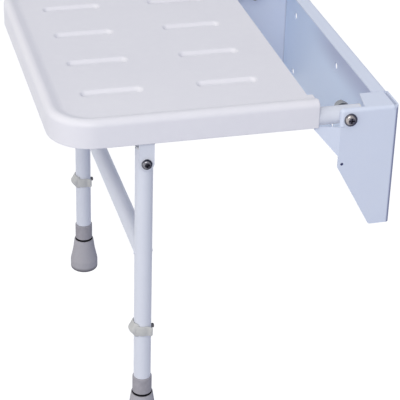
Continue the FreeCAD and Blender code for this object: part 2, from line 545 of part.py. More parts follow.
def turn(body, sketch, axis):
    """Turn a sketch round one of its own axes."""
    feature = body.newObject("PartDesign::Revolution", sketch.Name + "_turned")
    feature.Profile = sketch
    feature.ReferenceAxis = (sketch, [axis])
    feature.Angle = 360.0
    doc.recompute()
    return feature


def round_edges(body, name, radius, wanted):
    """Round the edges of the body that a test picks out."""
    base = body.Tip
    names = [f"Edge{place}" for place, edge in enumerate(base.Shape.Edges, start=1) if wanted(edge)]
    if not names:
        raise RuntimeError(name + " finds no edge")
    feature = body.newObject("PartDesign::Fillet", name)
    feature.Base = (base, names)
    tie(feature, "Radius", radius)
    doc.recompute()
    return feature


def is_round(edge):
    """Whether an edge is a circle or part of one."""
    return not edge.Degenerated and edge.Curve.TypeId == "Part::GeomCircle"


def straight(edge, axis):
    """Whether an edge is a straight line along an axis."""
    if edge.Degenerated or edge.Curve.TypeId != "Part::GeomLine":
        return False
    way = edge.Vertexes[-1].Point - edge.Vertexes[0].Point
    return way.Length > 0 and abs(abs(way.normalize().dot(DIRECTIONS[axis])) - 1) < 1e-6


def level_at(edge, name):
    """Whether an edge lies wholly at a named height."""
    box = edge.BoundBox
    return abs(box.ZMin - size(name)) < 1e-3 and abs(box.ZMax - size(name)) < 1e-3


def same(value, name):
    """Whether a coordinate has a named value, on either side."""
    return abs(abs(value) - abs(size(name))) < 1e-3


# Primitive solids and their cuts
def primitive(kind, name, at, along, fields):
    """Primitive with named sizes, put at a named point along an axis."""
    thing = doc.addObject(kind, name)
    for field, value in fields.items():
        tie(thing, field, value)
    thing.Placement.Rotation = FreeCAD.Rotation(DIRECTIONS["z"], DIRECTIONS[along])
    for letter, value in zip("xyz", at):
        tie(thing, "Placement.Base." + letter, value)
    return thing


def rod(name, radius, length, at, along):
    """Round bar of a named radius and length."""
    return primitive("Part::Cylinder", name, at, along, {"Radius": radius, "Height": length})


def cut(name, base, *tools):
    """One solid less the others."""
    if len(tools) > 1:
        tool = doc.addObject("Part::MultiFuse", name + "_tools")
        tool.Shapes = list(tools)
    else:
        tool = tools[0]
    result = doc.addObject("Part::Cut", name)
    result.Base = base
    result.Tool = tool
    return result


def join(name, *things):
    """Several solids made one."""
    result = doc.addObject("Part::MultiFuse", name)
    result.Shapes = list(things)
    return result


def group(name, *things):
    """Like solids kept apart under one name."""
    result = doc.addObject("Part::Compound", name)
    result.Links = list(things)
    return result


def mirrored(name, source):
    """The same piece on the other side of the seat."""
    result = doc.addObject("Part::Mirroring", name)
    result.Source = source
    result.Normal = DIRECTIONS["x"]
    return result


def keep(name, thing):
    """Hand a finished piece over under its node name."""
    thing.Label = name
    pieces[name] = thing


def keep_pair(name, thing):
    """Keep a right-hand piece and its left-hand twin."""
    keep(name + "_right", thing)
    keep(name + "_left", mirrored(name + "_twin", thing))


# Wall bracket: back plate, cheeks, top flange, end tabs, lips and down-stop tongues
bracket = new_body("bracket")
sketch = sketch_on(bracket, "front", "back_plate")
draw_outline(sketch, [
    ("-bracket_half", "bracket_bottom_z"),
    ("bracket_half", "bracket_bottom_z"),
    ("bracket_half", "bracket_top_z"),
    ("-bracket_half", "bracket_top_z"),
])
pad(bracket, sketch, "gauge")
for side, face in (("right", "cheek_inner_x"), ("left", "-bracket_half")):
    sketch = sketch_on(bracket, "side", "cheek_" + side, out=face)
    draw_outline(sketch, [
        ("zero_y", "bracket_top_z"),
        ("cheek_front_y", "bracket_top_z"),
        ("cheek_front_y", "cheek_knee_z"),
        ("cheek_foot_y", "bracket_bottom_z"),
        ("zero_y", "bracket_bottom_z"),
    ])
    pad(bracket, sketch, "gauge")
sketch = sketch_on(bracket, "plan", "top_flange", out="flange_under_z")
draw_outline(sketch, [
    ("-flange_half", "zero_y"),
    ("-flange_half", "flange_y"),
    ("flange_half", "flange_y"),
    ("flange_half", "zero_y"),
])
pad(bracket, sketch, "gauge")
sketch = sketch_on(bracket, "plan", "end_tabs", out="flange_under_z")
for sign in ("", "-"):
    draw_outline(sketch, [
        (sign + "tab_inner_x", "tab_back_y"),
        (sign + "tab_inner_x", "tab_front_in_y"),
        (sign + "lip_x", "tab_front_out_y"),
        (sign + "lip_x", "cheek_front_y"),
        (sign + "bracket_half", "cheek_front_y"),
        (sign + "bracket_half", "tab_back_y"),
    ])
pad(bracket, sketch, "gauge")
sketch = sketch_on(bracket, "front", "front_lips", out="-front_lip_back_y")
for sign in ("", "-"):
    draw_outline(sketch, [
        (sign + "lip_x", "front_lip_low_z"),
        (sign + "bracket_half", "front_lip_low_z"),
        (sign + "bracket_half", "bracket_top_z"),
        (sign + "lip_x", "bracket_top_z"),
    ])
pad(bracket, sketch, "gauge")


# Slits let each flange end without tearing its neighbour
sketch = sketch_on(bracket, "plan", "top_slits", out="bracket_top_z")
for sign in ("", "-"):
    draw_outline(sketch, [
        (sign + "lip_x", "tab_back_y"),
        (sign + "slit_out_x", "tab_back_y"),
        (sign + "slit_out_x", "slit_back_y"),
        (sign + "lip_x", "slit_back_y"),
    ])
pocket(bracket, sketch, "slit_deep")
sketch = sketch_on(bracket, "front", "front_slits", out="-cheek_front_y")
for sign in ("", "-"):
    draw_outline(sketch, [
        (sign + "lip_x", "tongue_top_z"),
        (sign + "slit_out_x", "tongue_top_z"),
        (sign + "slit_out_x", "front_lip_low_z"),
        (sign + "lip_x", "front_lip_low_z"),
    ])
pocket(bracket, sketch, "lip_slit_deep")
sketch = sketch_on(bracket, "front", "plate_slits")
for sign in ("", "-"):
    draw_outline(sketch, [
        (sign + "flange_half", "slit_low_z"),
        (sign + "tab_inner_x", "slit_low_z"),
        (sign + "tab_inner_x", "bracket_top_z"),
        (sign + "flange_half", "bracket_top_z"),
    ])
pocket(bracket, sketch, "bend_r", both_ways=True)


def picks_vertical_bend(edge):
    """Outer edge where a cheek leaves the back plate."""
    middle = edge.CenterOfMass
    return straight(edge, "z") and same(middle.x, "bracket_half") and same(middle.y, "zero_y")


def picks_inner_vertical_bend(edge):
    """Inner edge of the same bends."""
    middle = edge.CenterOfMass
    return straight(edge, "z") and same(middle.x, "cheek_inner_x") and same(middle.y, "plate_front_y")


def picks_flange_bend(edge):
    """Outer edge where the long flange leaves the back plate."""
    middle = edge.CenterOfMass
    on_edge = same(middle.y, "zero_y") and same(middle.z, "bracket_top_z")
    return straight(edge, "x") and on_edge and same(middle.x, 0)


def picks_inner_flange_bend(edge):
    """Inner edge of the long flange's bend."""
    middle = edge.CenterOfMass
    return straight(edge, "x") and same(middle.y, "plate_front_y") and same(middle.z, "flange_under_z")


def picks_tab_bend(edge):
    """Outer edge where an end tab leaves its cheek."""
    middle = edge.CenterOfMass
    on_edge = same(middle.x, "bracket_half") and same(middle.z, "bracket_top_z")
    return straight(edge, "y") and on_edge and middle.y < size("tab_back_y")


def picks_inner_tab_bend(edge):
    """Inner edge of an end tab's bend."""
    middle = edge.CenterOfMass
    return straight(edge, "y") and same(middle.x, "cheek_inner_x") and same(middle.z, "flange_under_z")


def picks_lip_bend(edge):
    """Outer edge where the front lip leaves its cheek."""
    middle = edge.CenterOfMass
    if not (straight(edge, "z") and same(middle.x, "bracket_half")):
        return False
    return same(middle.y, "cheek_front_y") and middle.z > size("front_lip_low_z")


def picks_rolled_corner(edge):
    """All the outer edges that meet at the top front corner of a cheek."""
    middle = edge.CenterOfMass
    across = straight(edge, "x") and same(middle.y, "cheek_front_y") and same(middle.z, "bracket_top_z")
    return across or picks_tab_bend(edge) or picks_lip_bend(edge)


def picks_inner_lip_bend(edge):
    """Inner edge of the front lip's bend."""
    middle = edge.CenterOfMass
    return straight(edge, "z") and same(middle.x, "cheek_inner_x") and same(middle.y, "front_lip_back_y")


def picks_cheek_corner(edge):
    """Lower corners of a cheek."""
    middle = edge.CenterOfMass
    at_knee = same(middle.y, "cheek_front_y") and same(middle.z, "cheek_knee_z")
    at_foot = same(middle.y, "cheek_foot_y") and same(middle.z, "bracket_bottom_z")
    return straight(edge, "x") and edge.Length < size("relief") + size("gauge") and (at_knee or at_foot)


round_edges(bracket, "back_bends", "bend_r", picks_vertical_bend)
round_edges(bracket, "back_bends_inside", "bend_inner_r", picks_inner_vertical_bend)
round_edges(bracket, "flange_bend_inside", "bend_inner_r", picks_inner_flange_bend)
round_edges(bracket, "tab_bends_inside", "bend_inner_r", picks_inner_tab_bend)
round_edges(bracket, "lip_bends_inside", "lip_bend_inner_r", picks_inner_lip_bend)
round_edges(bracket, "flange_bend", "bend_r", picks_flange_bend)
round_edges(bracket, "rolled_edges", "lip_bend_r", picks_rolled_corner)
round_edges(bracket, "cheek_corners", "cheek_corner_r", picks_cheek_corner)

# Tongue: bent inwards so that its top edge catches the side tube
sketch = sketch_on(bracket, "plan", "tongues", out="tongue_low_z")
for sign in ("", "-"):
    draw_outline(sketch, [
        (sign + "cheek_inner_x", "tongue_root_y"),
        (sign + "bracket_half", "tongue_root_y"),
        (sign + "bracket_half", "tongue_bend_y"),
        (sign + "tongue_outer_x", "tongue_tip_y"),
        (sign + "tongue_inner_x", "tongue_tip_y"),
        (sign + "cheek_inner_x", "tongue_bend_y"),
    ])
tongue_pad = pad(bracket, sketch, "tongue_low_z")
tie(tongue_pad, "Length", "tongue_top_z - tongue_low_z")
doc.recompute()
sketch = sketch_on(bracket, "side", "tongue_slant")
draw_outline(sketch, [
    ("cheek_front_y", "tongue_low_z"),
    ("tongue_tip_y", "tongue_tip_z"),
    ("tongue_trim_y", "tongue_tip_z"),
    ("tongue_trim_y", "tongue_trim_z"),
    ("cheek_front_y", "tongue_trim_z"),
])
pocket(bracket, sketch, "bracket_span", both_ways=True)
sketch = sketch_on(bracket, "side", "cheek_holes")
draw_circle(sketch, "hinge_hole_r", "hinge_y", "hinge_z")
draw_circle(sketch, "gauge_hole_r", "gauge_hole_y", "gauge_hole_z")
pocket(bracket, sketch, "bracket_span", both_ways=True)
sketch = sketch_on(bracket, "front", "wall_holes")
for across in ("-wall_hole_x", 0, "wall_hole_x"):
    for up in ("-wall_hole_z", "wall_hole_z"):
        draw_circle(sketch, "wall_hole_r", across, up)
pocket(bracket, sketch, "bend_r", both_ways=True)
keep("wall_bracket", bracket)


# Bolts, bushes, spacers and nuts on the two cross axes
def cross_axis_sketch(body, name, height_y, height_z):
    """Plan sketch whose level axis runs along a cross bolt."""
    return sketch_on(body, "plan", name, up=height_y, out=height_z)


def bolt(name, axis_y, axis_z, end, seat, top, shank_r, head_r, dome_r):
    """Pan-head bolt with a cross recess, head outboard."""
    body = new_body(name + "_body")
    profile = cross_axis_sketch(body, name + "_profile", axis_y, axis_z)
    draw_outline(profile, [
        (end, 0),
        (end, shank_r),
        (seat, shank_r),
        (seat, head_r),
        (top, head_r),
        (top, 0),
    ])
    turn(body, profile, "H_Axis")
    round_edges(body, name + "_dome", dome_r, lambda edge: (
        is_round(edge)
        and abs(edge.Curve.Radius - size(head_r)) < 1e-3
        and abs(edge.BoundBox.XMin - size(top)) < 1e-3
    ))
    recess = sketch_on(body, "side", name + "_recess", axis_y, axis_z, top)
    half, arm = shank_r + "_slit_half", shank_r + "_slit_arm"
    draw_outline(recess, [
        ("-" + arm, "-" + half),
        ("-" + half, "-" + half),
        ("-" + half, "-" + arm),
        (half, "-" + arm),
        (half, "-" + half),
        (arm, "-" + half),
        (arm, half),
        (half, half),
        (half, arm),
        ("-" + half, arm),
        ("-" + half, half),
        ("-" + arm, half),
    ])
    pocket(body, recess, shank_r + "_slit_deep")
    return body


def ring(name, outer_r, inner_r, length, at, along):
    """Round bar with a hole along it."""
    outside = rod(name + "_outside", outer_r, length, at, along)
    inside = rod(name + "_bore", inner_r, length, at, along)
    return cut(name + "_ring", outside, inside)


def lock_nut(name, axis_y, axis_z, hex_x, hex_long, across_r, collar_x, collar_long, collar_r,
             hole_r, whole_long):
    """Hexagon nut with a round locking collar towards the middle of the seat."""
    hexagon = primitive("Part::Prism", name + "_hexagon", (hex_x, axis_y, axis_z), "x",
                        {"Circumradius": across_r, "Height": hex_long})
    collar = rod(name + "_collar", collar_r, collar_long, (collar_x, axis_y, axis_z), "x")
    hole = rod(name + "_hole", hole_r, whole_long, (collar_x, axis_y, axis_z), "x")
    return cut(name + "_nut", join(name + "_solid", hexagon, collar), hole)


keep_pair("hinge_bolt", bolt(
    "hinge_bolt", "hinge_y", "hinge_z", "hinge_bolt_end_x", "bracket_half", "hinge_head_x",
    "hinge_bolt_r", "hinge_head_r", "hinge_dome_r"))
keep_pair("hinge_spacer", ring(
    "hinge_spacer", "spacer_r", "hinge_hole_r", "spacer_long",
    ("spacer_in_x", "hinge_y", "hinge_z"), "x"))
keep_pair("hinge_bush", ring(
    "hinge_bush", "hinge_bush_r", "hinge_hole_r", "hinge_bush_long",
    ("hinge_bush_in_x", "hinge_y", "hinge_z"), "x"))
keep_pair("hinge_washer", ring(
    "hinge_washer", "hinge_washer_r", "hinge_hole_r", "washer_thick",
    ("hinge_washer_x", "hinge_y", "hinge_z"), "x"))
keep_pair("hinge_nut", lock_nut(
    "hinge_nut", "hinge_y", "hinge_z", "hinge_nut_x", "hinge_nut_hex", "hinge_nut_across_r",
    "hinge_collar_x", "hinge_nut_collar", "hinge_collar_r", "hinge_hole_r", "hinge_nut_long"))
keep_pair("leg_bolt", bolt(
    "leg_bolt", "leg_y", "leg_pivot_z", "leg_bolt_end_x", "leg_tab_out_x", "leg_head_x",
    "leg_bolt_r", "leg_head_r", "leg_dome_r"))
keep_pair("leg_bush", ring(
    "leg_bush", "leg_bush_r", "leg_hole_r", "leg_bush_long",
    ("leg_bush_in_x", "leg_y", "leg_pivot_z"), "x"))
leg_washer = ring(
    "leg_washer", "leg_washer_r", "leg_hole_r", "washer_thick",
    ("leg_washer_x", "leg_y", "leg_pivot_z"), "x")
keep("leg_washers", group("leg_washer_pair", leg_washer, mirrored("leg_washer_twin", leg_washer)))
keep_pair("leg_nut", lock_nut(
    "leg_nut", "leg_y", "leg_pivot_z", "leg_nut_x", "leg_nut_hex", "leg_nut_across_r",
    "leg_collar_x", "leg_nut_collar", "leg_collar_r", "leg_hole_r", "leg_nut_long"))

# Seat frame: one tube bent to a U, drilled for the bushes and the seat screws
frame_body = new_body("frame")
path = sketch_on(frame_body, "plan", "frame_path", out="hinge_z")
draw_square_path(path, [
    ("frame_x", "frame_end_y"),
    ("frame_x", "frame_front_y", "frame_bend_r"),
    ("-frame_x", "frame_front_y", "frame_bend_r"),
    ("-frame_x", "frame_end_y"),
], closed=False)
section = sketch_on(frame_body, "front", "frame_section", out="frame_path_out")
draw_circle(section, "tube_r", "frame_x", "hinge_z")
draw_circle(section, "tube_bore_r", "frame_x", "hinge_z")
frame_tube = frame_body.newObject("PartDesign::AdditivePipe", "frame_tube")
frame_tube.Profile = section
frame_tube.Spine = (path, [])
doc.recompute()
sketch = sketch_on(frame_body, "side", "bush_holes")
draw_circle(sketch, "hinge_bush_hole_r", "hinge_y", "hinge_z")
pocket(frame_body, sketch, "bracket_span", both_ways=True)
screw_spots = [
    (sign + across, up)
    for sign in ("", "-")
    for across, up in (
        ("frame_x", "screw_back_y"),
        ("frame_x", "screw_front_y"),
        ("screw_mid_x", "frame_front_y"),
    )
]
sketch = sketch_on(frame_body, "plan", "screw_holes", out="hinge_z")
for across, up in screw_spots:
    draw_circle(sketch, "screw_pass_r", across, up)
pocket(frame_body, sketch, "drill_long", both_ways=True)
keep("seat_frame", frame_body)

# Rear cross tube, coped to the side tubes
rear_rod = rod("rear_rod", "tube_r", "rear_tube_long", ("-frame_x", "rear_tube_y", "hinge_z"), "x")
rear_bore = rod("rear_bore", "tube_bore_r", "rear_tube_long", ("-frame_x", "rear_tube_y", "hinge_z"), "x")
rear_copes = [
    rod("rear_cope_" + side, "cope_r", "drill_long", (across, "rear_cope_y", "hinge_z"), "y")
    for side, across in (("right", "frame_x"), ("left", "-frame_x"))
]
keep("rear_cross_tube", cut("rear_tube", rear_rod, rear_bore, *rear_copes))


def plug(name, at, along, inwards):
    """Push-in end plug: a cap outside, a hollow stub inside the tube."""
    body = new_body(name + "_body")
    view, axis, across, up, out = at
    profile = sketch_on(body, view, name + "_profile", across, up, out)
    draw_outline(profile, inwards)
    turn(body, profile, axis)
    return body


keep_pair("frame_plug", plug(
    "frame_plug", ("plan", "V_Axis", "frame_x", "frame_plug_y", "hinge_z"), "y", [
        (0, 0),
        ("plug_cap_r", 0),
        ("plug_cap_r", "-plug_cap"),
        ("plug_stub_r", "-plug_cap"),
        ("plug_stub_r", "-plug_long"),
        ("plug_cup_r", "-plug_long"),
        ("plug_cup_r", "-plug_cap"),
        (0, "-plug_cap"),
    ]))
keep_pair("leg_plug", plug(
    "leg_plug", ("front", "V_Axis", "leg_x", "leg_plug_z", "leg_out"), "z", [
        (0, 0),
        ("plug_cap_r", 0),
        ("plug_cap_r", "-plug_cap"),
        ("plug_stub_r", "-plug_cap"),
        ("plug_stub_r", "-plug_long"),
        ("plug_cup_r", "-plug_long"),
        ("plug_cup_r", "-plug_cap"),
        (0, "-plug_cap"),
    ]))

# Seat shell: moulded panel with skirt, arms over the side tubes, raised rim and grooves
shell = new_body("shell")
sketch = sketch_on(shell, "plan", "shell_outline", out="skirt_z")
draw_square_path(sketch, [
    ("shell_half", "arm_back_y"),
    ("arm_inner_x", "arm_back_y"),
    ("arm_inner_x", "shell_back_y"),
    ("-arm_inner_x", "shell_back_y"),
    ("-arm_inner_x", "arm_back_y"),
    ("-shell_half", "arm_back_y"),
    ("-shell_half", "shell_front_y", "shell_corner_r"),
    ("shell_half", "shell_front_y", "shell_corner_r"),
])
pad(shell, sketch, "shell_height")
sketch = sketch_on(shell, "plan", "panel_dish", out="rim_top_z")
draw_square_path(sketch, [
    ("rim_inner_x", "rim_open_y"),
    ("-rim_inner_x", "rim_open_y"),
    ("-rim_inner_x", "rim_inner_y", "rim_corner_r"),
    ("rim_inner_x", "rim_inner_y", "rim_corner_r"),
])
dish = pocket(shell, sketch, "rim_rise")
tie(dish, "TaperAngle", "-rim_slope_angle")
doc.recompute()


def on_outline(edge, side_x, front_y):
    """Whether an edge follows the U of the rim at a given offset."""
    box = edge.BoundBox
    on_side = same(box.XMin, side_x) and same(box.XMax, side_x)
    on_front = same(box.YMin, front_y) and same(box.YMax, front_y)
    in_corner = is_round(edge) and same(box.YMin, front_y) and (
        same(box.XMin, side_x) or same(box.XMax, side_x))
    return on_side or on_front or in_corner


round_edges(shell, "rim_shoulder", "rim_inner_round_r", lambda edge: (
    level_at(edge, "rim_top_z") and on_outline(edge, "rim_inner_x", "rim_inner_y")))
round_edges(shell, "rim_foot", "rim_foot_round_r", lambda edge: (
    level_at(edge, "panel_z") and edge.BoundBox.YMin < size("shell_back_y") - size("slit")))
round_edges(shell, "rim_outside", "rim_outer_round_r", lambda edge: (
    level_at(edge, "rim_top_z") and on_outline(edge, "shell_half", "shell_front_y")))
round_edges(shell, "skirt_foot", "skirt_round_r", lambda edge: (
    level_at(edge, "skirt_z") and on_outline(edge, "shell_half", "shell_front_y")))


def picks_arm_end(edge):
    """Edges round the back end of an arm, but for the open bottom."""
    box = edge.BoundBox
    at_back = same(box.YMin, "arm_back_y") and same(box.YMax, "arm_back_y")
    return at_back and not level_at(edge, "skirt_z")


round_edges(shell, "arm_ends", "arm_end_round_r", picks_arm_end)

sketch = sketch_on(shell, "plan", "hollow", out="skirt_z")
draw_square_path(sketch, [
    ("cavity_half", "cavity_open_y"),
    ("cavity_arm_x", "cavity_open_y"),
    ("cavity_arm_x", "cavity_back_y"),
    ("-cavity_arm_x", "cavity_back_y"),
    ("-cavity_arm_x", "cavity_open_y"),
    ("-cavity_half", "cavity_open_y"),
    ("-cavity_half", "cavity_front_y", "cavity_corner_r"),
    ("cavity_half", "cavity_front_y", "cavity_corner_r"),
])
pocket(shell, sketch, "cavity_deep", backwards=True)

sketch = sketch_on(shell, "plan", "grooves", out="panel_z")
for sign in ("", "-"):
    for near, far in (("groove_in_low_x", "groove_in_high_x"), ("groove_out_low_x", "groove_out_high_x")):
        for low, high in (("groove_front_low_y", "groove_front_high_y"),
                          ("groove_back_low_y", "groove_back_high_y")):
            draw_square_path(sketch, [
                (sign + near, low, "groove_end_r"),
                (sign + far, low, "groove_end_r"),
                (sign + far, high, "groove_end_r"),
                (sign + near, high, "groove_end_r"),
            ])
grooves = pocket(shell, sketch, "groove_deep")
tie(grooves, "TaperAngle", "-groove_slope_angle")
doc.recompute()
round_edges(shell, "groove_floors", "groove_round_r", lambda edge: level_at(edge, "groove_floor_z"))


def picks_groove_lip(edge):
    """Top edges of the grooves, well inside the rim."""
    box = edge.BoundBox
    inside = max(abs(box.XMin), abs(box.XMax)) < size("groove_out_high_x") + size("slit")
    return level_at(edge, "panel_z") and inside and box.XMax - box.XMin < size("groove_long")


round_edges(shell, "groove_lips", "groove_edge_r", picks_groove_lip)
sketch = sketch_on(shell, "plan", "groove_backs", out="panel_under_z")
for sign in ("", "-"):
    for near, far in (("groove_back_in_low_x", "groove_back_in_high_x"),
                      ("groove_back_out_low_x", "groove_back_out_high_x")):
        for low, high in (("groove_front_low_y", "groove_front_high_y"),
                          ("groove_back_low_y", "groove_back_high_y")):
            draw_square_path(sketch, [
                (sign + near, low, "groove_end_r"),
                (sign + far, low, "groove_end_r"),
                (sign + far, high, "groove_end_r"),
                (sign + near, high, "groove_end_r"),
            ])
pad(shell, sketch, "groove_back_deep", backwards=True)

sketch = sketch_on(shell, "plan", "long_ribs", out="panel_under_z")
for low, high in (("rib_mid_low_x", "rib_mid_high_x"), ("rib_out_low_x", "rib_out_high_x"),
                  ("-rib_out_high_x", "-rib_out_low_x")):
    draw_outline(sketch, [
        (low, "rib_front_y"),
        (high, "rib_front_y"),
        (high, "rib_back_y"),
        (low, "rib_back_y"),
    ])
pad(shell, sketch, "rib_deep", backwards=True)
sketch = sketch_on(shell, "plan", "cross_ribs", out="panel_under_z")
for low, high in (("rib_cross_low_y", "rib_cross_high_y"), ("rib_rear_low_y", "rib_rear_high_y")):
    draw_outline(sketch, [
        ("-rib_side_x", low),
        ("rib_side_x", low),
        ("rib_side_x", high),
        ("-rib_side_x", high),
    ])
pad(shell, sketch, "rib_deep", backwards=True)
sketch = sketch_on(shell, "plan", "bosses", out="panel_under_z")
for across, up in screw_spots:
    draw_circle(sketch, "boss_r", across, up)
pad(shell, sketch, "boss_deep", backwards=True)
sketch = sketch_on(shell, "plan", "pilot_holes", out="boss_end_z")
for across, up in screw_spots:
    draw_circle(sketch, "screw_hole_r", across, up)
pocket(shell, sketch, "pilot_deep", backwards=True)
keep("seat_shell", shell)

# Seat screws, driven from below through the tube into the bosses
screws = []
for place, (across, up) in enumerate(screw_spots):
    head = rod(f"screw_head_{place}", "screw_head_r", "screw_head_deep", (across, up, "screw_low_z"), "z")
    shank = rod(f"screw_shank_{place}", "screw_r", "screw_long", (across, up, "screw_head_z"), "z")
    screws.append(join(f"screw_{place}", head, shank))
keep("seat_screws", group("screw_group", *screws))

# Leg tab: plate welded under the side tube, round about the leg bolt
tab_plate = primitive("Part::Box", "tab_plate", ("leg_tab_x", "leg_tab_front_y", "leg_pivot_z"), "z", {
    "Length": "leg_tab_thick", "Width": "leg_tab_wide", "Height": "leg_tab_high"})
tab_end = rod("tab_end", "leg_tab_half", "leg_tab_thick", ("leg_tab_x", "leg_y", "leg_pivot_z"), "x")
tab_hole = rod("tab_hole", "leg_hole_r", "leg_tab_thick", ("leg_tab_x", "leg_y", "leg_pivot_z"), "x")
tab_cope = rod("tab_cope", "cope_r", "leg_tab_cope_long", ("frame_x", "leg_tab_cope_y", "hinge_z"), "y")
keep_pair("leg_tab", cut("tab", join("tab_solid", tab_plate, tab_end), tab_hole, tab_cope))

# Legs: outer tubes, crossbar, inner tubes and their height holes
leg_rod = rod("leg_rod", "tube_r", "leg_long", ("leg_x", "leg_y", "leg_bottom_z"), "z")
leg_bore = rod("leg_bore", "tube_bore_r", "leg_long", ("leg_x", "leg_y", "leg_bottom_z"), "z")
leg_cross_hole = rod("leg_cross_hole", "leg_bush_hole_r", "drill_long",
                     ("leg_drill_x", "leg_y", "leg_pivot_z"), "x")
leg_pin_hole = rod("leg_pin_hole", "pin_hole_r", "drill_long", ("leg_x", "drill_y", "pin_z"), "y")
keep_pair("leg_tube", cut("leg", leg_rod, leg_bore, leg_cross_hole, leg_pin_hole))

bar_rod = rod("bar_rod", "tube_r", "crossbar_long", ("-leg_x", "leg_y", "crossbar_z"), "x")
bar_bore = rod("bar_bore", "tube_bore_r", "crossbar_long", ("-leg_x", "leg_y", "crossbar_z"), "x")
bar_copes = [
    rod("bar_cope_" + side, "cope_r", "drill_long", (across, "leg_y", "bar_cope_z"), "z")
    for side, across in (("right", "leg_x"), ("left", "-leg_x"))
]
keep("leg_crossbar", cut("bar", bar_rod, bar_bore, *bar_copes))

inner_rod = rod("inner_rod", "inner_r", "inner_long", ("leg_x", "leg_y", "inner_bottom_z"), "z")
inner_bore = rod("inner_bore", "inner_bore_r", "inner_long", ("leg_x", "leg_y", "inner_bottom_z"), "z")
height_holes = [
    rod(f"height_hole_{step}", "height_hole_r", "drill_long",
        ("leg_x", "drill_y", f"pin_z + {step} * pin_pitch"), "y")
    for step in range(7)
]
keep_pair("inner_tube", cut("inner", inner_rod, inner_bore, *height_holes))

# Rubber ferrule: neck, ring line, bell and foot, with a steel disc under the tube
ferrule = new_body("ferrule_body")
sketch = sketch_on(ferrule, "front", "ferrule_profile", across="leg_x", out="leg_out")
draw_outline(sketch, [
    (0, "foot_z"),
    ("bell_r", "foot_z"),
    ("bell_r", "bell_low_z"),
    ("bell_mid_r", "bell_mid_z"),
    ("bell_top_r", "bell_top_z"),
    ("ring_r", "bell_top_z"),
    ("ring_r", "neck_low_z"),
    ("neck_r", "neck_low_z"),
    ("neck_r", "ferrule_top_z"),
    ("ferrule_bore_r", "ferrule_top_z"),
    ("ferrule_bore_r", "disc_z"),
    (0, "disc_z"),
])
turn(ferrule, sketch, "V_Axis")
round_edges(ferrule, "foot_round", "foot_round_r", lambda edge: (
    level_at(edge, "foot_z") and is_round(edge)
    and abs(edge.Curve.Radius - size("bell_r")) < 1e-3))
round_edges(ferrule, "neck_round", "neck_round_r", lambda edge: (
    level_at(edge, "ferrule_top_z") and is_round(edge)
    and abs(edge.Curve.Radius - size("neck_r")) < 1e-3))
keep_pair("ferrule", ferrule)
keep_pair("ferrule_disc", ring(
    "ferrule_disc", "disc_r", "disc_hole_r", "disc_thick", ("leg_x", "leg_y", "disc_z"), "z"))

# Height clip: a saddle that snaps round the leg, with a thumb wedge and a steel pin
clip = new_body("clip_body")
sketch = sketch_on(clip, "plan", "clip_band", out="clip_band_z")
draw_square_path(sketch, [
    ("clip_left_x", "clip_arm_y"),
    ("clip_left_x", "clip_front_y", "clip_corner_r"),
    ("clip_right_x", "clip_front_y", "clip_corner_r"),
    ("clip_right_x", "clip_arm_y"),
])
pad(clip, sketch, "clip_band_high")
sketch = sketch_on(clip, "side", "clip_wedge", out="leg_x")
draw_outline(sketch, [
    ("clip_head_root_y", "clip_head_low_z"),
    ("clip_head_root_y", "clip_head_top_z"),
    ("clip_head_face_y", "clip_head_top_z"),
    ("clip_tip_y", "clip_tip_top_z"),
    ("clip_tip_y", "clip_tip_low_z"),
    ("clip_head_face_y", "clip_head_low_z"),
])
pad_both_ways(clip, sketch, "clip_head_width")
sketch = sketch_on(clip, "plan", "clip_saddle", out="clip_head_low_z")
draw_circle(sketch, "clip_inner_r", "leg_x", "leg_y")
pocket(clip, sketch, "clip_head_width", backwards=True)
clip_saddle = clip.Tip
tie(clip_saddle, "Length", "2 * clip_head_half")
doc.recompute()
sketch = sketch_on(clip, "plan", "clip_mouth", out="clip_band_z")
draw_outline(sketch, [
    ("clip_slot_left_x", "leg_y"),
    ("clip_slot_right_x", "leg_y"),
    ("clip_slot_right_x", "clip_slot_y"),
    ("clip_slot_left_x", "clip_slot_y"),
])
pocket(clip, sketch, "clip_band_high", backwards=True)
sketch = sketch_on(clip, "front", "clip_pin_seat", out="-leg_y")
draw_circle(sketch, "clip_pin_hole_r", "leg_x", "pin_z")
pocket(clip, sketch, "pin_front_reach", backwards=True)
keep_pair("clip", clip)

pin_body = new_body("pin_body")
sketch = sketch_on(pin_body, "plan", "pin_profile", across="leg_x", out="pin_z")
draw_outline(sketch, [
    (0, "pin_seat_y"),
    ("pin_r", "pin_seat_y"),
    ("pin_r", "pin_tip_y"),
    (0, "pin_tip_y"),
])
turn(pin_body, sketch, "V_Axis")
round_edges(pin_body, "pin_tip", "pin_tip_round_r", lambda edge: (
    is_round(edge) and abs(edge.BoundBox.YMin - size("pin_tip_y")) < 1e-3))
keep_pair("clip_pin", pin_body)

# Check every object, then write one file for each piece
doc.recompute()
for thing in doc.Objects:
    if "Invalid" in thing.State or "Error" in thing.State:
        raise RuntimeError(thing.Name + " is in state " + ", ".join(thing.State))
for name, thing in pieces.items():
    shape = thing.Shape
    if shape.isNull() or not shape.isValid() or not shape.Solids:
        raise RuntimeError(name + " has no sound shape")

os.makedirs("parts", exist_ok=True)
for name, thing in pieces.items():
    thing.Shape.exportStep(f"parts/{name}.step")
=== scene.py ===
"""Looks of the fold-up shower seat: moulded seat, powder-coated steel, clips and feet.

Everything is in metres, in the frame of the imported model: the wall is y = 0, the seat
reaches to -Y, +X is the right-hand side of somebody sitting down and +Z is up.
"""
import math

import bmesh
import bpy
from mathutils import Matrix, Vector


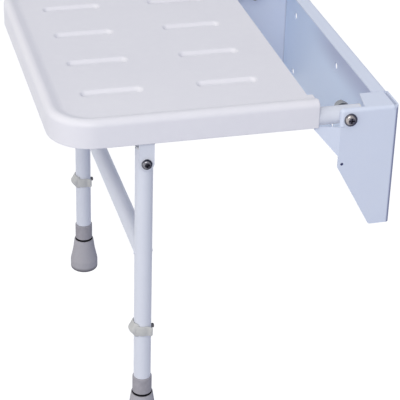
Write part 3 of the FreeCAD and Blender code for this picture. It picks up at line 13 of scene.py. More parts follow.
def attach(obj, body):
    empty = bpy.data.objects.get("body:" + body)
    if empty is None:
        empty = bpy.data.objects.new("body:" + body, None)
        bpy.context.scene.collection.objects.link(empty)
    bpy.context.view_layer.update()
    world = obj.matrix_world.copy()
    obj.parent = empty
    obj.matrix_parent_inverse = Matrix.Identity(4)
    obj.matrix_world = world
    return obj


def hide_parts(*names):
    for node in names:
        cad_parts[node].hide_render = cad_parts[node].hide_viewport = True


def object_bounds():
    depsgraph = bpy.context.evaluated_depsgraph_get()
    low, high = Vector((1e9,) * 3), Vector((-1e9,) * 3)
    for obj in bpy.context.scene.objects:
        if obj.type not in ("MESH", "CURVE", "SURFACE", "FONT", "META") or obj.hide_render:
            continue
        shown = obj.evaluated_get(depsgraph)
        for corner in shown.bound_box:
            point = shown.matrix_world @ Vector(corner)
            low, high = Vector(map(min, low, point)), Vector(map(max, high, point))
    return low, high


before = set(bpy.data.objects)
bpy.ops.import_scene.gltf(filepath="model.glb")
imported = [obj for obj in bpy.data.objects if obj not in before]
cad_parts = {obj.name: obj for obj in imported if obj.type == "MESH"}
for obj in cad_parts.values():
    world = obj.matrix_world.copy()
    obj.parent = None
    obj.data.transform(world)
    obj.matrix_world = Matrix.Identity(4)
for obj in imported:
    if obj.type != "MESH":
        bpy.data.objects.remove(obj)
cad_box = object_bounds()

SIDES = {"right": 1.0, "left": -1.0}

# Places on the object; the left side mirrors the right one
HINGE_AXIS = (0.0, -0.0626, 0.0778)
LEG_AXIS = (0.0, -0.3145, 0.0388)
LEG_X, LEG_Y = 0.2023, -0.3145
FRAME_X, FRAME_Z = 0.209, 0.0778
TUBE_R = 0.0111

ORIGIN = (0.0, 0.0, 0.0)
WHITE = (1.0, 1.0, 1.0, 1.0)
PALE_GREY = (0.8, 0.8, 0.8, 1.0)


def shade(red, green, blue):
    """Colour as seen on a screen, 0 to 255, as the linear colour a shader takes."""
    linear = []
    for channel in (red, green, blue):
        part = channel / 255.0
        linear.append(part / 12.92 if part <= 0.04045 else ((part + 0.055) / 1.055) ** 2.4)
    return (*linear, 1.0)


# Building blocks of the shared effects
SOCKET_OF_LENGTH = {3: "NodeSocketVector", 4: "NodeSocketColor"}
NOISE_LOW, NOISE_HIGH = 0.3, 0.7
NOISE_ROUGHNESS = 0.55
SPOT_SMOOTHNESS = 0.6


def new_effect(name, inputs, outputs):
    """Node group with an input socket for each name and value, and outputs of given kinds."""
    group = bpy.data.node_groups.new(name, "ShaderNodeTree")
    for label, value in inputs.items():
        plain = isinstance(value, float)
        kind = "NodeSocketFloat" if plain else SOCKET_OF_LENGTH[len(value)]
        socket = group.interface.new_socket(label, in_out="INPUT", socket_type=kind)
        socket.default_value = value
    for label, kind in outputs.items():
        group.interface.new_socket(label, in_out="OUTPUT", socket_type=kind)
    return group, group.nodes.new("NodeGroupInput"), group.nodes.new("NodeGroupOutput")


def new_mask(name, share, limits):
    """Node group that gives a mask at a point, from named limits and a share."""
    return new_effect(name, {"Point": ORIGIN, **limits, "Share": share},
                      {"Mask": "NodeSocketFloat"})


def noise_in(group, given, scale_label, detail):
    """Noise at the effect's point, scaled by one of its inputs."""
    noise = group.nodes.new("ShaderNodeTexNoise")
    noise.inputs["Detail"].default_value = detail
    noise.inputs["Roughness"].default_value = NOISE_ROUGHNESS
    group.links.new(given.outputs["Point"], noise.inputs["Vector"])
    group.links.new(given.outputs[scale_label], noise.inputs["Scale"])
    return noise.outputs["Fac"]


def spread_noise(group, noise):
    """Node that spreads a noise from its usual range to 0 and 1."""
    ramp = group.nodes.new("ShaderNodeMapRange")
    ramp.inputs["From Min"].default_value = NOISE_LOW
    ramp.inputs["From Max"].default_value = NOISE_HIGH
    group.links.new(noise, ramp.inputs["Value"])
    return ramp


def soft_step(group, value, low, high):
    """Smooth step of a value between two limits, each a socket or a plain number."""
    step = group.nodes.new("ShaderNodeMapRange")
    step.interpolation_type = "SMOOTHSTEP"
    group.links.new(value, step.inputs["Value"])
    for label, limit in (("From Min", low), ("From Max", high)):
        if isinstance(limit, float):
            step.inputs[label].default_value = limit
        else:
            group.links.new(limit, step.inputs[label])
    return step.outputs["Result"]


def combine(group, operation, first, second):
    """One math node on two sockets or plain numbers."""
    node = group.nodes.new("ShaderNodeMath")
    node.operation = operation
    for place, value in enumerate((first, second)):
        if isinstance(value, float):
            node.inputs[place].default_value = value
        else:
            group.links.new(value, node.inputs[place])
    return node.outputs["Value"]


def mix_colours(tree, share, first, second):
    """Mix of a colour socket with a second one or with a plain colour."""
    mix = tree.nodes.new("ShaderNodeMix")
    mix.data_type = "RGBA"
    tree.links.new(share, mix.inputs["Factor"])
    tree.links.new(first, mix.inputs["A"])
    if isinstance(second, tuple):
        mix.inputs["B"].default_value = second
    else:
        tree.links.new(second, mix.inputs["B"])
    return mix.outputs["Result"]


def split(group, vector):
    """X, Y and Z of a vector socket."""
    parts = group.nodes.new("ShaderNodeSeparateXYZ")
    group.links.new(vector, parts.inputs["Vector"])
    return parts.outputs["X"], parts.outputs["Y"], parts.outputs["Z"]


def flat_length(group, first, second):
    """Length of the flat vector that two sockets make."""
    joined = group.nodes.new("ShaderNodeCombineXYZ")
    group.links.new(first, joined.inputs["X"])
    group.links.new(second, joined.inputs["Y"])
    far = group.nodes.new("ShaderNodeVectorMath")
    far.operation = "LENGTH"
    group.links.new(joined.outputs["Vector"], far.inputs[0])
    return far.outputs["Value"]


def give_mask(group, given, out, zone):
    """Put out the zone times the effect's share."""
    mask = combine(group, "MULTIPLY", zone, given.outputs["Share"])
    group.links.new(mask, out.inputs["Mask"])


# Effects that several finishes share
def make_tint_effect():
    """Slow drift between two tints, as in a moulding or a coat of paint."""
    group, given, out = new_effect("tint_drift", {
        "Point": ORIGIN, "Tint": PALE_GREY, "Second Tint": PALE_GREY, "Patch Scale": 9.0,
        "Contrast": 0.6}, {"Color": "NodeSocketColor"})
    patches = noise_in(group, given, "Patch Scale", detail=4.0)
    drift = spread_noise(group, patches).outputs["Result"]
    amount = combine(group, "MULTIPLY", drift, given.outputs["Contrast"])
    tint = mix_colours(group, amount, given.outputs["Tint"], given.outputs["Second Tint"])
    group.links.new(tint, out.inputs["Color"])
    return group


def make_grain_effect():
    """Fine pebbled skin: a height for a bump and a roughness that drifts with it."""
    group, given, out = new_effect("skin_grain", {
        "Point": ORIGIN, "Grain Scale": 900.0, "Wave Scale": 60.0, "Wave Share": 0.4,
        "Gloss Low": 0.3, "Gloss High": 0.45,
    }, {"Height": "NodeSocketFloat", "Roughness": "NodeSocketFloat"})
    grain = noise_in(group, given, "Grain Scale", detail=2.0)
    wave = noise_in(group, given, "Wave Scale", detail=2.0)
    height = group.nodes.new("ShaderNodeMix")
    height.data_type = "FLOAT"
    group.links.new(given.outputs["Wave Share"], height.inputs["Factor"])
    group.links.new(grain, height.inputs["A"])
    group.links.new(wave, height.inputs["B"])
    gloss = spread_noise(group, wave)
    group.links.new(given.outputs["Gloss Low"], gloss.inputs["To Min"])
    group.links.new(given.outputs["Gloss High"], gloss.inputs["To Max"])
    group.links.new(height.outputs["Result"], out.inputs["Height"])
    group.links.new(gloss.outputs["Result"], out.inputs["Roughness"])
    return group


def make_film_effect():
    """Faint water film and soap haze: soft-edged spots laid over a colour."""
    group, given, out = new_effect("water_film", {
        "Point": ORIGIN, "Color": PALE_GREY, "Film Tint": PALE_GREY, "Spot Scale": 70.0,
        "Spot Edge": 0.55, "Spot Core": 0.1, "Cover": 0.25}, {"Color": "NodeSocketColor"})
    spots = group.nodes.new("ShaderNodeTexVoronoi")
    spots.feature = "SMOOTH_F1"
    spots.inputs["Smoothness"].default_value = SPOT_SMOOTHNESS
    group.links.new(given.outputs["Point"], spots.inputs["Vector"])
    group.links.new(given.outputs["Spot Scale"], spots.inputs["Scale"])
    spot = soft_step(group, spots.outputs["Distance"], given.outputs["Spot Edge"],
                     given.outputs["Spot Core"])
    amount = combine(group, "MULTIPLY", spot, given.outputs["Cover"])
    colour = mix_colours(group, amount, given.outputs["Color"], given.outputs["Film Tint"])
    group.links.new(colour, out.inputs["Color"])
    return group


def make_height_effect():
    """Band between two heights, soft at both ends: the bell, and the painted shade at the sole
    of each foot.
    """
    group, given, out = new_mask("height_band", 1.0, {"Low": -0.1, "High": 0.1, "Soft": 0.001})
    height = split(group, given.outputs["Point"])[2]
    below = combine(group, "SUBTRACT", given.outputs["Low"], given.outputs["Soft"])
    above = combine(group, "ADD", given.outputs["High"], given.outputs["Soft"])
    rise = soft_step(group, height, below, given.outputs["Low"])
    fall = soft_step(group, height, given.outputs["High"], above)
    left = combine(group, "SUBTRACT", 1.0, fall)
    give_mask(group, given, out, combine(group, "MULTIPLY", rise, left))
    return group


def make_round_effect():
    """Distance from an axis along X, as a soft step: painted dark reflections on the rims and
    painted shade in the recesses of bolt heads.
    """
    group, given, out = new_mask("round_painted_shade", 1.0, {"Axis": ORIGIN, "From": 0.004, "To": 0.006})
    away = group.nodes.new("ShaderNodeVectorMath")
    away.operation = "SUBTRACT"
    group.links.new(given.outputs["Point"], away.inputs[0])
    group.links.new(given.outputs["Axis"], away.inputs[1])
    _, deep, height = split(group, away.outputs["Vector"])
    zone = soft_step(group, flat_length(group, deep, height), given.outputs["From"],
                     given.outputs["To"])
    give_mask(group, given, out, zone)
    return group


def make_corner_effect():
    """Both upright corners at the wall, where the folded sheet turns: painted shade, dark blue
    on the coat.
    """
    group, given, out = new_mask("corner_painted_shade", 0.8, {
        "Half Width": 0.2265, "Near": 0.0026, "Far": 0.0052,
        "Fade Top": 0.0905, "Fade Bottom": 0.0865})
    across, deep, height = split(group, given.outputs["Point"])
    across = combine(group, "ABSOLUTE", across, 0.0)
    across = combine(group, "SUBTRACT", across, given.outputs["Half Width"])
    zone = soft_step(group, flat_length(group, across, deep), given.outputs["Far"],
                     given.outputs["Near"])
    below = soft_step(group, height, given.outputs["Fade Top"], given.outputs["Fade Bottom"])
    give_mask(group, given, out, combine(group, "MULTIPLY", zone, below))
    return group


def make_groove_effect():
    """Painted shade in the gap round each foot: a band of heights, only near the leg's upright
    axis.
    """
    group, given, out = new_mask("groove_painted_shade", 1.0, {
        "Half Width": LEG_X, "Depth": LEG_Y, "Radius": 0.0128, "Soft": 0.0004,
        "Low": -0.3052, "High": -0.3022})
    across, deep, height = split(group, given.outputs["Point"])
    across = combine(group, "ABSOLUTE", across, 0.0)
    across = combine(group, "SUBTRACT", across, given.outputs["Half Width"])
    deep = combine(group, "SUBTRACT", deep, given.outputs["Depth"])
    edge = combine(group, "ADD", given.outputs["Radius"], given.outputs["Soft"])
    zone = soft_step(group, flat_length(group, across, deep), edge, given.outputs["Radius"])
    rise = combine(group, "GREATER_THAN", height, given.outputs["Low"])
    fall = combine(group, "LESS_THAN", height, given.outputs["High"])
    band = combine(group, "MULTIPLY", rise, fall)
    give_mask(group, given, out, combine(group, "MULTIPLY", zone, band))
    return group


# Limits of the back plate's front face, between its bends
PLATE_BEHIND, PLATE_AHEAD = -0.001, -0.0035
PLATE_TOP = 0.086
PLATE_HALF_WIDE = 0.2235


def make_plate_effect():
    """Front of the back plate, with a soft rise in height and a soft rise across, where painted
    shade is laid on the plate.
    """
    group, given, out = new_mask("plate_painted_shade", 0.5, {
        "Bottom": 0.022, "Top": 0.062, "Far": -0.13, "Near": 0.0})
    across, deep, height = split(group, given.outputs["Point"])
    zone = soft_step(group, height, given.outputs["Bottom"], given.outputs["Top"])
    rise = soft_step(group, across, given.outputs["Far"], given.outputs["Near"])
    zone = combine(group, "MULTIPLY", zone, rise)
    half = combine(group, "ABSOLUTE", across, 0.0)
    for operation, value, limit in (("LESS_THAN", deep, PLATE_BEHIND),
                                    ("GREATER_THAN", deep, PLATE_AHEAD),
                                    ("LESS_THAN", height, PLATE_TOP),
                                    ("LESS_THAN", half, PLATE_HALF_WIDE)):
        inside = combine(group, operation, value, limit)
        zone = combine(group, "MULTIPLY", zone, inside)
    give_mask(group, given, out, zone)
    return group


tint_drift = make_tint_effect()
skin_grain = make_grain_effect()
water_film = make_film_effect()
height_band = make_height_effect()
round_painted_shade = make_round_effect()
corner_painted_shade = make_corner_effect()
groove_painted_shade = make_groove_effect()
plate_painted_shade = make_plate_effect()


def place_effect(tree, effect, values):
    """Put a shared effect into a material with its own values."""
    node = tree.nodes.new("ShaderNodeGroup")
    node.node_tree = effect
    for label, value in values.items():
        node.inputs[label].default_value = value
    return node


def make_finish(name, tint, second_tint, gloss, grain, bump, patch=9.0, contrast=0.6, metal=0.0,
                film=0.0, film_tint=None, stretch=None, specular=0.5, tones_and_painted_shade=()):
    """Finish with drifting tint, grained skin, an optional water film and tones, painted shade
    and painted reflections laid over it.
    """
    material = bpy.data.materials.new(name)
    material.use_nodes = True
    tree = material.node_tree
    shader = tree.nodes["Principled BSDF"]
    shader.inputs["Metallic"].default_value = metal
    shader.inputs["Specular IOR Level"].default_value = specular
    place = tree.nodes.new("ShaderNodeTexCoord").outputs["Object"]
    point = place
    if stretch:
        mapping = tree.nodes.new("ShaderNodeMapping")
        mapping.inputs["Scale"].default_value = stretch
        tree.links.new(place, mapping.inputs["Vector"])
        point = mapping.outputs["Vector"]
    drift = place_effect(tree, tint_drift, {
        "Tint": tint, "Second Tint": second_tint, "Patch Scale": patch, "Contrast": contrast})
    skin = place_effect(tree, skin_grain, {
        "Grain Scale": grain[0], "Wave Scale": grain[1],
        "Gloss Low": gloss[0], "Gloss High": gloss[1]})
    tree.links.new(point, drift.inputs["Point"])
    tree.links.new(point, skin.inputs["Point"])
    colour = drift.outputs["Color"]
    if film:
        haze = place_effect(tree, water_film, {"Film Tint": film_tint, "Cover": film})
        tree.links.new(place, haze.inputs["Point"])
        tree.links.new(colour, haze.inputs["Color"])
        colour = haze.outputs["Color"]
    for effect, values, overlay_tint in tones_and_painted_shade:
        mask = place_effect(tree, effect, values)
        tree.links.new(place, mask.inputs["Point"])
        colour = mix_colours(tree, mask.outputs["Mask"], colour, overlay_tint)
    tree.links.new(colour, shader.inputs["Base Color"])
    tree.links.new(skin.outputs["Roughness"], shader.inputs["Roughness"])
    relief = tree.nodes.new("ShaderNodeBump")
    relief.inputs["Strength"].default_value = bump[0]
    relief.inputs["Distance"].default_value = bump[1]
    tree.links.new(skin.outputs["Height"], relief.inputs["Height"])
    tree.links.new(relief.outputs["Normal"], shader.inputs["Normal"])
    return material


# Finishes. Gloss is the lowest and highest roughness, grain the scales of its two noises and
# bump its strength and depth. Overlays are (effect, its values, tint), laid one over the other:
# most are painted shade and painted reflections, the rubber's lighter bell is its own tone.
COAT_SKIN = {"gloss": (0.30, 0.38), "grain": (700.0, 40.0), "bump": (0.12, 0.00006),
             "film": 0.05, "film_tint": shade(228, 231, 238), "specular": 0.2}
HEAD_SKIN = {"gloss": (0.16, 0.26), "grain": (2500.0, 200.0), "bump": (0.12, 0.00005),
             "metal": 1.0, "patch": 260.0, "contrast": 0.8}

# The painted dark reflections on the bolt heads' rims sit off centre, so their upper front stays
# bright
HINGE_REFLECTION_AXIS = (0.0, -0.0644, 0.0792)
LEG_REFLECTION_AXIS = (0.0, -0.3157, 0.0397)

# Painted shade laid on the bracket's coat
BRACKET_PAINTED_SHADE = [
    # Painted shade: a bluer tint over the whole front of the back plate, for the blue shade
    # inside the channel
    (plate_painted_shade, {"Bottom": -0.2, "Top": -0.19, "Far": -0.3, "Near": -0.25, "Share": 1.0},
     shade(219, 234, 255)),
    # Painted shade: a darker band on the plate just under the top flange, fading towards the far
    # end
    (plate_painted_shade, {}, shade(148, 148, 184)),
    # Painted shade: dark blue along both upright corners at the wall
    (corner_painted_shade, {}, shade(92, 99, 146)),
]
# The rubber's lighter bell, with painted shade at the sole and in the gap
RUBBER_TONE_AND_PAINTED_SHADE = [
    (height_band, {"Low": -0.4, "High": -0.3055, "Share": 0.75}, shade(184, 182, 187)),
    # Painted shade: darker towards the sole of each foot
    (height_band, {"Low": -0.4, "High": -0.3535, "Soft": 0.006, "Share": 0.8},
     shade(84, 82, 90)),
    # Painted shade: near black in the gap between neck and bell
    (groove_painted_shade, {}, shade(20, 19, 24)),
]
HINGE_HEAD_PAINTED_SHADE = [
    # Painted reflection: a dark rim, off centre
    (round_painted_shade, {"Axis": HINGE_REFLECTION_AXIS, "From": 0.0050, "To": 0.0070, "Share": 0.92},
     shade(34, 38, 62)),
    # Painted shade: dark in and round the recess
    (round_painted_shade, {"Axis": HINGE_AXIS, "From": 0.0050, "To": 0.0034, "Share": 0.85},
     shade(46, 47, 70)),
]
LEG_HEAD_PAINTED_SHADE = [
    # Painted reflection: a dark rim, off centre
    (round_painted_shade, {"Axis": LEG_REFLECTION_AXIS, "From": 0.0041, "To": 0.0056, "Share": 0.92},
     shade(30, 34, 54)),
    # Painted shade: dark in and round the recess
    (round_painted_shade, {"Axis": LEG_AXIS, "From": 0.0041, "To": 0.0028, "Share": 0.9},
     shade(34, 34, 46)),
]

finishes = {
    "moulding": make_finish(
        "seat_moulding", shade(235, 234, 239), shade(230, 229, 235), gloss=(0.34, 0.44),
        grain=(1400.0, 90.0), bump=(0.22, 0.00012), film=0.12, film_tint=shade(240, 240, 243),
        specular=0.3),
    "coat": make_finish(
        "powder_coat", shade(225, 228, 237), shade(219, 223, 233), **COAT_SKIN),
    "bracket": make_finish(
        "bracket_coat_and_painted_shade", shade(222, 229, 244), shade(216, 224, 241), tones_and_painted_shade=BRACKET_PAINTED_SHADE,
        **COAT_SKIN),
    "clip": make_finish(
        "clip_plastic", shade(198, 198, 196), shade(187, 188, 187), gloss=(0.4, 0.5),
        grain=(1600.0, 120.0), bump=(0.25, 0.0001), patch=60.0),
    "rubber": make_finish(
        "ferrule_rubber_and_painted_shade", shade(173, 170, 175), shade(150, 147, 154), gloss=(0.62, 0.78),
        grain=(520.0, 90.0), bump=(0.7, 0.0003), patch=150.0, film=0.2,
        film_tint=shade(176, 175, 184), specular=0.15, tones_and_painted_shade=RUBBER_TONE_AND_PAINTED_SHADE),
    "hinge_head": make_finish(
        "hinge_bolt_plate_and_painted_shade", shade(186, 180, 178), shade(112, 110, 118),
        tones_and_painted_shade=HINGE_HEAD_PAINTED_SHADE, **HEAD_SKIN),
    "leg_head": make_finish(
        "leg_bolt_plate_and_painted_shade", shade(138, 138, 144), shade(86, 86, 98), tones_and_painted_shade=LEG_HEAD_PAINTED_SHADE,
        **HEAD_SKIN),
    "zinc": make_finish(
        "zinc_plate", shade(158, 161, 166), shade(136, 139, 146), gloss=(0.3, 0.45),
        grain=(2200.0, 160.0), bump=(0.2, 0.00006), metal=1.0, patch=120.0),
    "pin": make_finish(
        "pin_steel", shade(96, 95, 100), shade(60, 60, 66), gloss=(0.25, 0.4),
        grain=(2200.0, 160.0), bump=(0.15, 0.00005), metal=1.0, patch=160.0),
    "bare_tube": make_finish(
        "bare_tube", shade(190, 193, 200), shade(172, 176, 184), gloss=(0.24, 0.34),
        grain=(900.0, 60.0), bump=(0.15, 0.00005), metal=1.0, patch=30.0,
        stretch=(1.0, 1.0, 0.06)),
    "nylon": make_finish(
        "nylon", shade(226, 226, 224), shade(214, 214, 212), gloss=(0.42, 0.52),
        grain=(1500.0, 120.0), bump=(0.2, 0.0001), patch=80.0),
    "bush": make_finish(
        "turned_steel", shade(150, 152, 156), shade(132, 134, 139), gloss=(0.28, 0.4),
        grain=(2600.0, 160.0), bump=(0.2, 0.00005), metal=1.0, patch=160.0),
    "hole": make_finish(
        "hole_shade", shade(66, 70, 108), shade(54, 58, 94), gloss=(0.5, 0.6),
        grain=(900.0, 90.0), bump=(0.1, 0.00005), specular=0.2),
}

# Finish of each node, named without its side
FINISH_OF_NODE = {
    "wall_bracket": "bracket",
    "seat_frame": "coat", "rear_cross_tube": "coat", "leg_crossbar": "coat", "leg_tab": "coat",
    "leg_tube": "coat",
    "seat_shell": "moulding",
    "clip": "clip",
    "ferrule": "rubber",
    "hinge_bolt": "hinge_head",
    "leg_bolt": "leg_head",
    "clip_pin": "pin",
    "hinge_washer": "zinc", "hinge_nut": "zinc", "leg_nut": "zinc", "leg_washers": "zinc",
    "seat_screws": "zinc", "ferrule_disc": "zinc",
    "inner_tube": "bare_tube",
    "hinge_spacer": "nylon", "frame_plug": "nylon", "leg_plug": "nylon",
    "hinge_bush": "bush", "leg_bush": "bush",
}

for node_name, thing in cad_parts.items():
    plain_name = node_name
    for side in SIDES:
        if plain_name not in FINISH_OF_NODE:
            plain_name = plain_name.removesuffix("_" + side)
    finish = finishes[FINISH_OF_NODE[plain_name]]
    for slot in thing.material_slots:
        slot.material = finish
    if not thing.material_slots:
        thing.data.materials.append(finish)


# Helpers for the small parts made here
MERGE_DISTANCE = 1e-7


def finish_piece(name, points, faces, finish, body):
    """Mesh at the origin with outward faces, one finish, riding on a body."""
    mesh = bpy.data.meshes.new(name)
    mesh.from_pydata(points, [], faces)
    work = bmesh.new()
    work.from_mesh(mesh)
    bmesh.ops.remove_doubles(work, verts=work.verts, dist=MERGE_DISTANCE)
    bmesh.ops.recalc_face_normals(work, faces=work.faces)
    work.to_mesh(mesh)
    work.free()
    for face in mesh.polygons:
        face.use_smooth = True
    mesh.materials.append(finish)
    piece = bpy.data.objects.new(name, mesh)
    bpy.context.scene.collection.objects.link(piece)
    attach(piece, body)
    return piece


def ring_quads(count, here, there):
    """Quads between two rings of points, given where each ring starts in the list."""
    quads = []
    for place in range(count):
        after = (place + 1) % count
        quads.append((here + place, here + after, there + after, there + place))
    return quads


def turned_point(along, radius, angle, axis):
    """Point at a distance and an angle from an axis along X."""
    return (along, axis[1] + radius * math.cos(angle), axis[2] + radius * math.sin(angle))


def turned_points(profile, axis, steps):
    """Points and faces of a closed profile of (along X, radius) turned round an axis."""
    points, faces = [], []
    count = len(profile)
    for step in range(steps):
        angle = 2.0 * math.pi * step / steps
        points += [turned_point(along, radius, angle, axis) for along, radius in profile]
    for step in range(steps):
        faces += ring_quads(count, step * count, (step + 1) % steps * count)
    return points, faces


def mirror_points(points, sign):
    """The same points on the right (1) or the left (-1) side."""
    return [(sign * across, deep, high) for across, deep, high in points]


# Lock nuts: nylon ring in each collar, thread on each bolt's end
ROUND_STEPS = 40
RING_HALF = 0.0003
RING_BULGE = 0.00042
RING_BEVEL = 0.0001
# Gaps between the ring and the bolt: in the collar, at the ring's front and at its bulge
RING_GAPS = (0.00002, 0.00012, 0.0004)
THREAD_PITCH = 0.0011
THREAD_DEPTH = 0.00022
THREAD_CREST = 0.00018
THREAD_PAST_END = 0.00002
THREAD_TO_COLLAR = 0.0001
THREAD_ROWS_A_TURN = 6
NUTS = {
    "hinge": {"axis": HINGE_AXIS, "collar_x": 0.1855, "end_x": 0.1840, "bolt_r": 0.0050,
              "ring_r": 0.0061, "body": "wall_mount"},
    "leg": {"axis": LEG_AXIS, "collar_x": 0.1807, "end_x": 0.1797, "bolt_r": 0.0040,
            "ring_r": 0.0050, "body": "seat"},
}


def thread_points(start, end, crest, axis):
    """Helical thread on a bolt's end: the radius zigzags as the angle turns."""
    rows = int(abs(end - start) / THREAD_PITCH * THREAD_ROWS_A_TURN) + 1
    points, faces = [], []
    for row in range(rows + 2):
        share = min(max((row - 0.5) / (rows - 1), 0.0), 1.0)
        along = start + (end - start) * share
        for step in range(ROUND_STEPS):
            turn = step / ROUND_STEPS
            wave = abs(((along / THREAD_PITCH - turn) % 1.0) * 2.0 - 1.0)
            radius = crest - THREAD_DEPTH * wave
            # The first and the last row close the ends, below the thread
            if row in (0, rows + 1):
                radius = crest - 2.0 * THREAD_DEPTH
            points.append(turned_point(along, radius, 2.0 * math.pi * turn, axis))
    for row in range(rows + 1):
        faces += ring_quads(ROUND_STEPS, row * ROUND_STEPS, (row + 1) * ROUND_STEPS)
    last = (rows + 1) * ROUND_STEPS
    faces.append(tuple(range(ROUND_STEPS)))
    faces.append(tuple(last + step for step in range(ROUND_STEPS)))
    return points, faces


def nylon_ring(collar_x, bolt_r, ring_r):
    """Profile of the ring in a nut's collar: (along X, radius)."""
    back, front, bulge = (bolt_r + gap for gap in RING_GAPS)
    return [(collar_x + RING_HALF, back), (collar_x - RING_HALF, front),
            (collar_x - RING_BULGE, bulge), (collar_x - RING_HALF, ring_r - RING_BEVEL),
            (collar_x + RING_HALF, ring_r)]


for nut_name, nut in NUTS.items():
    for side, sign in SIDES.items():
        profile = nylon_ring(nut["collar_x"], nut["bolt_r"], nut["ring_r"])
        points, faces = turned_points(profile, nut["axis"], ROUND_STEPS)
        finish_piece(f"{nut_name}_nylon_ring_{side}", mirror_points(points, sign), faces,
                     finishes["nylon"], nut["body"])
        points, faces = thread_points(nut["end_x"] - THREAD_PAST_END,
                                      nut["collar_x"] - THREAD_TO_COLLAR,
                                      nut["bolt_r"] + THREAD_CREST, nut["axis"])
        finish_piece(f"{nut_name}_thread_{side}", mirror_points(points, sign), faces,
                     finishes["zinc"], nut["body"])

# Dark disc in the tooling hole of each cheek, painted shade for the shade seen in the hole:
# profile of (along X, radius)
HOLE_AXIS = (0.0, -0.0696, 0.0172)
HOLE_STEPS = 28
HOLE_SHADE_DISC = [(0.2259, 0.0), (0.2259, 0.0012), (0.2261, 0.00198), (0.2250, 0.00198),
             (0.2248, 0.0012), (0.2248, 0.0)]
for side, sign in SIDES.items():
    points, faces = turned_points(HOLE_SHADE_DISC, HOLE_AXIS, HOLE_STEPS)
    finish_piece(f"tooling_hole_shade_disc_{side}", mirror_points(points, sign), faces,
                 finishes["hole"], "wall_mount")


# Height clips: a sprung band that flares round the pin, and a thumb wedge
PIN_Z = -0.2036
CLIP_INNER_R = 0.01146
CLIP_WALL = 0.0027
BAND_STATIONS = 56
BAND_HALF_HIGH = 0.0067
BAND_LIFT = 0.0004
BAND_SOFT = 0.0008
BAND_CORNERS = ((1, -1), (1, 1), (-1, 1), (-1, -1))
STRAIGHT_SHARE = 0.36
STRAIGHT_REACH = 0.0094
FLARE, FLARE_STARTS, FLARE_POWER, FLARE_LEAN = 0.0030, 0.4, 1.5, 0.55
PINCH = 0.0003
END_SHARE, END_TRIM = 0.05, 0.22
WEDGE_ROUNDS = 20
WEDGE_R = CLIP_INNER_R + 0.00005
WEDGE_HALF_WIDE = 0.0100
WEDGE_FOOT = 0.0004
# Powers below 1 make the wedge's front fuller than a circle
SWELL_POWER, LEAN_POWER = 0.45, 0.8
# Levels of the wedge from below to above: height, front and share of its width
WEDGE_LEVELS = [
    (-0.0088, 0.0121, 0.70), (-0.0085, 0.0126, 0.90), (-0.0076, 0.0131, 0.96),
    (-0.0048, 0.0154, 1.0), (-0.0024, 0.0175, 1.0), (-0.0013, 0.0182, 1.0),
    (0.0000, 0.0182, 1.0), (0.0012, 0.0176, 1.0), (0.0036, 0.0158, 1.0),
    (0.0070, 0.0137, 0.96), (0.0094, 0.0125, 0.90), (0.0098, 0.0120, 0.70),
]


def band_station(share):
    """Place and outward way of the clip's band, from one flared end (0) to the other (1)."""
    side = 1.0 if share < 0.5 else -1.0
    run = 1.0 - abs(2.0 * share - 1.0)
    middle = CLIP_INNER_R + CLIP_WALL / 2.0
    if run < STRAIGHT_SHARE:
        back = 1.0 - run / STRAIGHT_SHARE
        opened = max(0.0, (back - FLARE_STARTS) / (1.0 - FLARE_STARTS))
        flare = FLARE * opened ** FLARE_POWER - PINCH * math.sin(math.pi * back)
        return ((side * (middle + flare), STRAIGHT_REACH * back),
                (side, -FLARE_LEAN * back ** 2))
    angle = (run - STRAIGHT_SHARE) / (1.0 - STRAIGHT_SHARE) * math.pi / 2.0
    return ((side * middle * math.cos(angle), -middle * math.sin(angle)),
            (side * math.cos(angle), -math.sin(angle)))


def band_section():
    """Rounded strip that the band sweeps: (outward, up)."""
    section = []
    half_thick = CLIP_WALL / 2.0
    for corner, (out, up) in enumerate(BAND_CORNERS):
        for bit in range(3):
            angle = math.radians(-90.0 + 90.0 * corner + 45.0 * bit)
            section.append((out * (half_thick - BAND_SOFT) + BAND_SOFT * math.cos(angle),
                            up * (BAND_HALF_HIGH - BAND_SOFT) + BAND_SOFT * math.sin(angle)))
    return section


def clip_band():
    """Strip swept along the band's path: points and faces about the pin's height."""
    section = band_section()
    count = len(section)
    points, faces = [], []
    for station in range(BAND_STATIONS + 1):
        share = station / BAND_STATIONS
        (across, deep), (way_x, way_y) = band_station(share)
        long = math.hypot(way_x, way_y)
        way_x, way_y = way_x / long, way_y / long
        end = max(0.0, 1.0 - min(share, 1.0 - share) / END_SHARE)
        trim = 1.0 - END_TRIM * end ** 2
        for out, up in section:
            points.append((across + out * way_x, deep + out * way_y, up * trim + BAND_LIFT))
    for station in range(BAND_STATIONS):
        faces += ring_quads(count, station * count, (station + 1) * count)
    faces.append(tuple(range(count)))
    faces.append(tuple(BAND_STATIONS * count + place for place in range(count)))
    return points, faces


def wedge_level(level, front, wide):
    """Ring of the wedge at one level: hollowed to the leg, and rounded in front."""
    half = WEDGE_HALF_WIDE * wide
    opened = math.asin(half / WEDGE_R)
    points = []
    for bit in range(WEDGE_ROUNDS + 1):
        angle = -opened + 2.0 * opened * bit / WEDGE_ROUNDS
        points.append((WEDGE_R * math.sin(angle), -WEDGE_R * math.cos(angle), level))
    base = WEDGE_R * math.cos(opened)
    for bit in range(WEDGE_ROUNDS + 1):
        angle = math.pi / 2.0 - math.pi * bit / WEDGE_ROUNDS
        swell = abs(math.cos(angle)) ** SWELL_POWER
        lean = math.copysign(abs(math.sin(angle)) ** LEAN_POWER, math.sin(angle))
        reach = base + WEDGE_FOOT + (front - base - WEDGE_FOOT) * swell
        points.append((half * lean, -reach, level))
    return points


